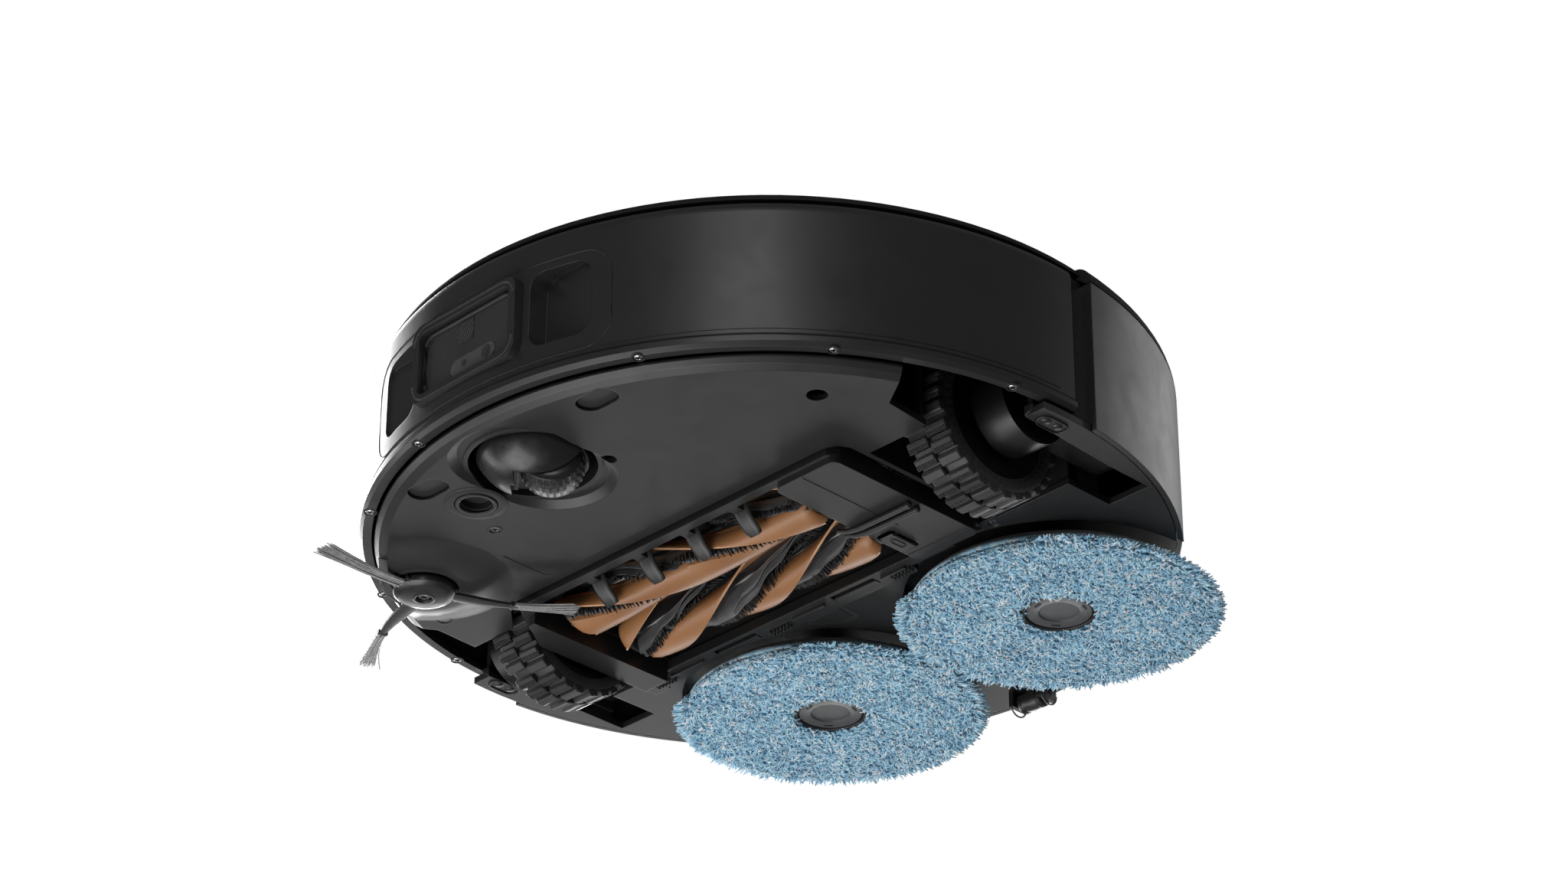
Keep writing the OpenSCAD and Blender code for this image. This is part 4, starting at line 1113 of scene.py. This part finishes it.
def guard_rods():
    """Two wire loops over the gear box."""
    rods = Bag()
    for y in (-6.2, -1.0):
        line = ((47.5, 17.2), (54.0, 14.8), (60.0, 13.9), (74.5, 13.7), (88.5, 13.7))
        rods.tube([(x, y, z) for x, z in line], [1.0, 1.2, 1.3, 1.3, 1.3], 12)
        rods.tube([(88.0, y, 13.7), (89.3, y, 13.7), (90.1, y, 13.8)], [1.7, 1.6, 0.8], 12)
    piece("guard_rods", rods, "guard", MATT)


def guard_rear():
    """The tabs and tuft blocks along the guard's rear, and the joints across the gear cover."""
    dark, plate = Bag(), Bag()
    cover_z = 14.96
    dark.tube([(72.2, -52, cover_z), (72.2, 5, cover_z)], 0.16, 6)
    dark.tube([(57, 27.2, cover_z), (91.5, 27.2, cover_z)], 0.16, 6)
    for x0, x1 in ((-101.5, -80), (-24, -4), (30, 45)):
        plate.prism(rounded(x0, 37.2, x1, 38.4, 0.5), 17.0, 18.7)
    for x in (-108, -34, 40):
        for i in range(6):
            for j in range(2):
                tuft = [(x - 5.2 + i * 2.1, 39.5 + j * 2.1, z) for z in (18.6, 17.2, 16.6)]
                dark.tube(tuft, [0.8, 0.75, 0.4], 7)
        plate.prism(rounded(x - 6.8, 37.8, x + 6.8, 43.3, 1), 18.3, 18.7)
    piece("guard_rear_tabs", plate, "guard", UNDER, angle=35)
    piece("guard_dark_lines", dark, "guard", MATT, angle=50)


def release_button():
    button, mark = Bag(), Bag()
    outline = [(59.0, 7.5), (66.0, 7.5), (66.5, 8.5), (66.5, 21.5), (66.0, 22.5), (59.0, 22.5)]
    button.prism(outline, 13.7, 15.0, 0.7)
    mark.tube(level_loop(pill(62.6, 15, 8, 3, 8, 90), 13.66), 0.22, 6)
    piece("release_key", button, "release", UNDER, ("release_button",), 35)
    piece("release_mark", mark, "release", MATT)


# ---------------------------------------------------------------- underside plate
def side_sensor(dark, lens, trim, x):
    """A pair of lenses in a framed stadium at the side of the plate."""
    bead = [(0.0, 20.3), (1.4, 20.35), (2.2, 20.7), (2.5, 21.2), (0.0, 21.4)]
    for y in (-7.4, -0.6):
        lens.lathe(bead, (x, y, 0), "Z", 28)
    trim.tube(level_loop(pill(x, -4, 15.2, 7.8, 10, 90), 20.8), 0.45, 8)
    dark.prism(pill(x, -4, 14.2, 6.6, 10, 90), 20.88, 21.1)


def plate_details():
    """The seam and the notch of the plate, its side sensors and the carpet sensor's stepped ring."""
    dark, lens, trim = Bag(), Bag(), Bag()
    seam = [(-74, -87), (-74, -66), (-73.5, -63), (-71.7, -60.8), (-69, -60), (52, -60)]
    dark.tube([(x, y, 20.96) for x, y in seam], 0.18, 6)
    notch = [(-27, 46.2), (-3, 46.2), (-3.5, 59.0), (-6, 61.2), (-15, 61.2), (-25.5, 51.5)]
    dark.prism(notch, 20.85, 21.2)
    shelf = [(-24, 48.6), (-6, 48.6), (-6.8, 58.0), (-15.5, 58.5), (-23.5, 51.5)]
    trim.prism(shelf, 20.65, 20.9, 0.1)
    trim.prism(rounded(-124, 41, -114, 50, 1.2), 20.4, 21.2, 0.3)
    for sign in (-1, 1):
        side_sensor(dark, lens, trim, sign * 167.5)
    carpet_sensor = (-47, -126, 0)
    outer = [(9.2, 21.1), (9.4, 20.6), (11.2, 20.55), (13.4, 20.8), (13.7, 21.1)]
    inner = [(7.0, 20.8), (7.2, 20.3), (7.8, 20.1), (8.8, 20.3), (8.9, 20.8)]
    dark.lathe(outer, carpet_sensor, "Z", 64)
    trim.lathe(inner, carpet_sensor, "Z", 64)
    piece("plate_dark_lines", dark, "chassis", MATT)
    piece("plate_lenses", lens, "chassis", UNDER)
    piece("plate_frames", trim, "chassis", UNDER)


def tail_wheel():
    """The small roller between the pads, on its pins, and the edges of its fork in a lighter grey, a
    painted highlight.
    """
    bag, fork = Bag(), Bag()
    low, high = box("tail_roller")
    _, y, z = middle_of("tail_roller")
    r = (high[2] - low[2]) / 2
    half = [(1.2, 6.6), (r - 0.8, 6.6), (r, 5.8)]
    drum = [(r - 0.4 * t * t, 5 * t) for t in np.linspace(-1, 1, 7)]
    bag.lathe([(a, -x) for a, x in half] + drum + half[::-1], (0, y, z), "X", 48)
    for sign in (-1, 1):
        bag.tube([(sign * x, y, z) for x in (6.6, 8.0, 9.3)], [1.6, 1.5, 1.3], 12)
    for x in (-4.5, 4.5):
        bag.lathe([(r - 0.3, x - 0.4), (r + 0.05, x), (r - 0.3, x + 0.4)], (0, y, z), "X", 48)
    piece("tail_drum", bag, "tail", HOUSING, ("tail_roller",), 35)
    # Lighter grey arcs along the fork's edges: painted highlight.
    for sign in (-1, 1):
        arc = circle(y, z, 5.2, 13, 180, 360)
        fork.tube([(sign * 9.25, *point) for point in arc[:13]], 0.4, 8)
    piece("tail_fork_edge_highlights", fork, "chassis", HUB_GREY, angle=50)


guard_hooks()
guard_rods()
guard_rear()
release_button()
plate_details()
tail_wheel()


# ---------------------------------------------------------------- bumper face
FACE_R = 175.0
WINDOW_Y = -173.12
LENS_Z = 50.5


def on_wall(turn, z, r):
    """A point on the round wall; turn is in degrees from the front, towards +X."""
    a = math.radians(turn)
    return (r * math.sin(a), -r * math.cos(a), z)


def wall_loop(w, z0, z1, corner, n=8):
    """A closed rounded rectangle of (turn, z) points: w is its half width in degrees."""
    deg = math.degrees(corner / FACE_R)
    right, top, bottom = w - deg, z1 - corner, z0 + corner
    points = []
    for cx, cz, start in ((right, top, 0), (-right, top, 90), (-right, bottom, 180), (right, bottom, 270)):
        for k in range(n + 1):
            t = math.radians(start + 90 * k / n)
            points.append((cx + deg * math.cos(t), cz + corner * math.sin(t)))
    loop = []
    for (a0, b0), (a1, b1) in zip(points, points[1:] + points[:1]):
        steps = max(1, int(abs(a1 - a0) / 1.5))
        for k in range(steps):
            loop.append((a0 + (a1 - a0) * k / steps, b0 + (b1 - b0) * k / steps))
    return loop + [loop[0]]


def bumper_seams():
    """The seams of the window's panel and of the lower band, and the lips of the window's frame in a
    lighter black, a painted highlight.
    """
    dark, light = Bag(), Bag()
    loop = wall_loop(24.3, 35.0, 81.2, 12.5)
    dark.tube([on_wall(t, z, FACE_R + 0.02) for t, z in loop], 0.22, 6)
    # A hairline in a lighter black under the seam: painted highlight on its lower lip.
    light.tube([on_wall(t, z - 0.35, FACE_R) for t, z in loop], 0.14, 6)
    for z, r in ((31.2, 175.68), (34.1, 175.05)):
        dark.tube([on_wall(t, z, r) for t in np.linspace(-88, 88, 90)], 0.14, 6)
    # The frame's outer lip in a lighter black: painted highlight.
    outer = closed(rounded(-30.6, 41.4, 30.6, 76.6, 7.5, 8))
    light.tube([(x, -175.85, z) for x, z in outer], 0.85, 10)
    inner = closed(rounded(-26.8, 45.2, 26.8, 72.8, 4.5, 8))
    dark.tube([(x, WINDOW_Y, z) for x, z in inner], 1.0, 8)
    piece("bumper_seams", dark, "bumper", MATT, angle=50)
    piece("bumper_highlights", light, "bumper", RIM_HIGHLIGHT, angle=50)


def window_hatch():
    """The small dark square beside the lenses, with its slanting lines."""
    hatch, stripes = Bag(), Bag()
    y = WINDOW_Y - 0.06
    x0, x1, z0, z1 = -6.0, 3.0, 60.5, 71.2
    run, rise = 4.8, z1 - z0 - 1.2
    hatch.prism([(x0, 0), (x1, 0), (x1, 0.2), (x0, 0.2)], z0, z1)
    hatch.placed(np.eye(3), (0, y, 0))
    for k in range(9):
        start = x0 - 4.6 + k * 1.6
        a, b = max(x0, start), min(x1, start + run)
        if b - a < 0.8:
            continue
        za, zb = (z0 + 0.6 + (x - start) / run * rise for x in (a, b))
        stripes.tube([(a, y, za), ((a + b) / 2, y - 0.05, (za + zb) / 2), (b, y, zb)], 0.26, 6)
    piece("window_hatch", hatch, "bumper", MATT)
    piece("window_hatch_lines", stripes, "bumper", HUB_GREY, angle=50)


def window_lenses():
    """The pill-shaped cover of the camera, and the two lenses behind it."""
    cover, eyes = Bag(), Bag()
    x = 3.0
    rim = pill(x, LENS_Z, 28, 8.2, 14)
    inner = (rim - (x, LENS_Z)) * (0.93, 0.86) + (x, LENS_Z)
    cover.loft([[(u, y, z) for u, z in ring] for ring, y in ((rim, WINDOW_Y), (inner, WINDOW_Y - 0.33))])
    for at, r in ((-2.0, 1.6), (11.8, 2.9)):
        profile = [(0.0, -173.72), (r * 0.6, -173.68), (r, -173.52), (r * 1.02, -173.3), (0.0, -173.3)]
        eyes.lathe(profile, (at, 0, LENS_Z), "Y", 32)
    piece("window_lens_cover", cover, "bumper", LENS, angle=50)
    piece("window_lenses", eyes, "bumper", GLASS, angle=50)


def side_filler(side, sign):
    """The recessed strip of the wall that shows between the bumper's end and the rear wall."""
    bag = Bag()
    section = ((27.2, 170.6), (95.0, 170.6), (95.0, 170.0), (27.2, 170.0))
    turns = np.linspace(89.2, 94.6, 7)
    bag.loft([[on_wall(sign * t, z, r) for z, r in section] for t in turns])
    piece(f"wall_filler_{side}", bag, "chassis", SHELL, angle=35)


bumper_seams()
window_hatch()
window_lenses()
for filler_side, filler_sign in SIDES:
    side_filler(filler_side, filler_sign)


# ---------------------------------------------------------------- top
BUTTON_Y = -98
ICON_WIRE = 0.2


def turret_cap():
    cap, rings = Bag(), Bag()
    top = box("lidar_turret")[1][2]
    centre = (0, -15, 0)
    profile = [
        (0.0, top + 0.1), (35.2, top + 0.12), (36.6, top - 0.1),
        (37.5, top - 0.6), (37.9, top - 1.5), (0.0, top - 1.6),
    ]
    cap.lathe(profile, centre, "Z", 96)
    for r in (30.0, 32.2):
        rings.lathe([(r - 0.2, top), (r, top + 0.22), (r + 0.2, top)], centre, "Z", 96)
    piece("turret_cap", cap, "turret", TOP, angle=35)
    piece("turret_rings", rings, "turret", MATT, angle=35)


def icon_lines(name):
    """The strokes of a button's mark, in plan, from the middle of the button."""
    def arc(start, end, n):
        return [(3 * math.sin(t), -3 * math.cos(t)) for t in np.linspace(start, end, n)]

    return {
        "power": [arc(-2.5, 2.5, 17), [(0, 3.5), (0, 1.2)]],
        "clean": [arc(0, 2 * math.pi, 25), [(-1.2, 0), (1.2, 0)]],
        "dock": [[(-3, -0.2), (0, 2.8), (3, -0.2)], [(-2, 0), (-2, -2.6), (2, -2.6), (2, 0)]],
    }[name]


def button_cap(name, x):
    cap, icon = Bag(), Bag()
    z = box(f"{name}_button")[1][2]
    profile = [(0.0, z - 0.1), (6.0, z), (7.2, z + 0.1), (7.8, z - 0.3), (7.9, z - 0.9), (0.0, z - 1)]
    cap.lathe(profile, (x, BUTTON_Y, 0), "Z", 48)
    for line in icon_lines(name):
        icon.tube([(x + u, BUTTON_Y + v, z) for u, v in line], ICON_WIRE, 6)
    piece(f"{name}_cap", cap, f"{name}_key", TOP, angle=35)
    piece(f"{name}_icon", icon, f"{name}_key", HUB_GREY, angle=50)


def lid_notch():
    """A finger notch at the lid's rear edge."""
    notch = Bag()
    z = box("top_lid")[1][2]
    arc = [(18 * math.sin(t), 147.5 - 6 * math.cos(t) ** 2, z) for t in np.linspace(-1.5, 1.5, 21)]
    notch.tube(arc, 0.25, 6)
    piece("lid_notch", notch, "lid", MATT, angle=50)


turret_cap()
for button, button_x in (("power", 0), ("clean", -28), ("dock", 28)):
    button_cap(button, button_x)
lid_notch()


# ---------------------------------------------------------------- springs
def coil(bag, start, end, across, turns, radius, wire):
    """A round-wire spring from start to end; across holds the two directions square to it."""
    steps = turns * 16
    start, end = np.array(start), np.array(end)
    u, w = across
    points = []
    for f in np.linspace(0, 1, steps + 1):
        a = 2 * math.pi * turns * f
        points.append(start + (end - start) * f + radius * (math.cos(a) * u + math.sin(a) * w))
    bag.tube(points, wire, 6)


def springs():
    """Wound springs in place of the CAD springs."""
    side, ahead, up = np.eye(3)
    for name in ("left", "right"):
        low, high = box(f"arm_spring_{name}")
        x, y, _ = middle_of(f"arm_spring_{name}")
        bag = Bag()
        ends = (x, y, low[2] + 0.8), (x, y, high[2] - 0.8)
        coil(bag, *ends, (side, ahead), 9, (high[0] - low[0]) / 2 - 0.8, 0.8)
        obj = piece(f"arm_coil_{name}", bag, "chassis", STEEL, (f"arm_spring_{name}",), 60)
        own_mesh(obj)
    low, high = box("bumper_springs")
    bag = Bag()
    for sign in (-1, 1):
        x, z = sign * (high[0] - 2.6), (low[2] + high[2]) / 2
        coil(bag, (x, low[1] + 0.4, z), (x, high[1] - 0.4, z), (side, up), 4, 2.2, 0.4)
    obj = piece("bumper_coils", bag, "chassis", STEEL, ("bumper_springs",), 60)
    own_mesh(obj)


springs()


# ---------------------------------------------------------------- camera and light, in metres
MIDDLE = Vector((0, 0, 0.055))


def towards(azimuth, elevation):
    """The direction out of the robot: azimuth 0 is in front of it (-Y), 90 is at +X."""
    a, e = math.radians(azimuth), math.radians(elevation)
    return Vector((math.sin(a) * math.cos(e), -math.cos(a) * math.cos(e), math.sin(e)))


def aim(obj, target, roll=0.0):
    """Points a camera or a lamp at a target, its roll in radians."""
    back = (obj.location - target).normalized()
    right = (-back).cross(Vector((0, 0, 1))).normalized()
    up = right.cross(-back)
    c, s = math.cos(roll), math.sin(roll)
    axes = Matrix((right * c + up * s, up * c - right * s, back)).transposed()
    obj.rotation_euler = axes.to_euler()


def softbox(name, azimuth, elevation, distance, size, power):
    """An area light aimed at the robot."""
    lamp = bpy.data.lights.new(name, "AREA")
    lamp.shape = "RECTANGLE"
    lamp.size, lamp.size_y = size
    lamp.energy = power
    obj = bpy.data.objects.new(name, lamp)
    bpy.context.scene.collection.objects.link(obj)
    obj.location = MIDDLE + towards(azimuth, elevation) * distance
    aim(obj, MIDDLE)
    obj.visible_camera = False


def photo_camera():
    """The camera where the photograph was taken from, as fitted to the robot's outline."""
    camera = bpy.data.objects.new("Camera", bpy.data.cameras.new("Camera"))
    bpy.context.scene.collection.objects.link(camera)
    bpy.context.scene.camera = camera
    camera.data.sensor_width = 36
    camera.data.lens = 98.07
    camera.data.clip_start = 0.01
    camera.data.clip_end = 50
    look_at = Vector((0.0126, -0.0036, 0.0765))
    camera.location = look_at + 1.8557 * towards(45.373, -29.878)
    aim(camera, look_at, 0.00137)


photo_camera()
softbox("Key left", -118, 24, 1.5, (1.5, 1.1), 70)
softbox("Rim back", 168, 18, 1.6, (1.3, 0.9), 5)
softbox("Under fill", -20, -62, 1.5, (1.2, 1.2), 17)
softbox("Under back", 224, -10, 1.7, (1.7, 0.5), 8)
softbox("Under rim", 228, -54, 1.5, (0.8, 0.45), 0.4)
softbox("Front soft", 40, 14, 2.4, (0.7, 1.4), 16)
softbox("Low strip", -62, -24, 1.4, (0.35, 1.3), 4)


# ---------------------------------------------------------------- world and floor
def studio_world():
    """White where the camera sees it, and a dim even light on everything else."""
    world = bpy.data.worlds.new("Studio")
    bpy.context.scene.world = world
    world.use_nodes = True
    tree = world.node_tree
    tree.nodes.clear()
    out = tree.nodes.new("ShaderNodeOutputWorld")
    path = tree.nodes.new("ShaderNodeLightPath")
    either = tree.nodes.new("ShaderNodeMixShader")
    tree.links.new(path.outputs["Is Camera Ray"], either.inputs[0])
    room = tree.nodes.new("ShaderNodeBackground")
    room.inputs["Strength"].default_value = 0.15
    tree.links.new(room.outputs[0], either.inputs[1])
    white = tree.nodes.new("ShaderNodeBackground")
    white.inputs["Color"].default_value = (1, 1, 1, 1)
    tree.links.new(white.outputs[0], either.inputs[2])
    tree.links.new(either.outputs[0], out.inputs[0])


def pale_floor():
    """A pale sheet seen only from above, so it never hides the underside."""
    mesh = bpy.data.meshes.new("Floor")
    mesh.from_pydata([(-4, -4, 0), (4, -4, 0), (4, 4, 0), (-4, 4, 0)], [], [(0, 1, 2, 3)])
    floor = bpy.data.objects.new("Floor", mesh)
    floor.location = (0, 0, -0.002)
    bpy.context.scene.collection.objects.link(floor)
    s = Shader("Pale floor")
    s.set(Base_Color=s.ramp(s.noise(3, 4), [(0.3, (0.80, 0.80, 0.81)), (0.7, (0.86, 0.86, 0.86))]))
    s.set(Roughness=0.7)
    above = s.math("SUBTRACT", 1.0, s.node("NewGeometry").outputs["Backfacing"])
    seen = s.math("MULTIPLY", s.node("LightPath").outputs["Is Camera Ray"], above)
    swap = s.node("MixShader")
    s.link(seen, swap.inputs[0])
    s.link(s.node("BsdfTransparent").outputs[0], swap.inputs[1])
    s.link(s.bsdf.outputs[0], swap.inputs[2])
    s.link(swap.outputs[0], s.out.inputs[0])
    mesh.materials.append(s.mat)


studio_world()
pale_floor()
bpy.context.scene.view_settings.view_transform = "Standard"
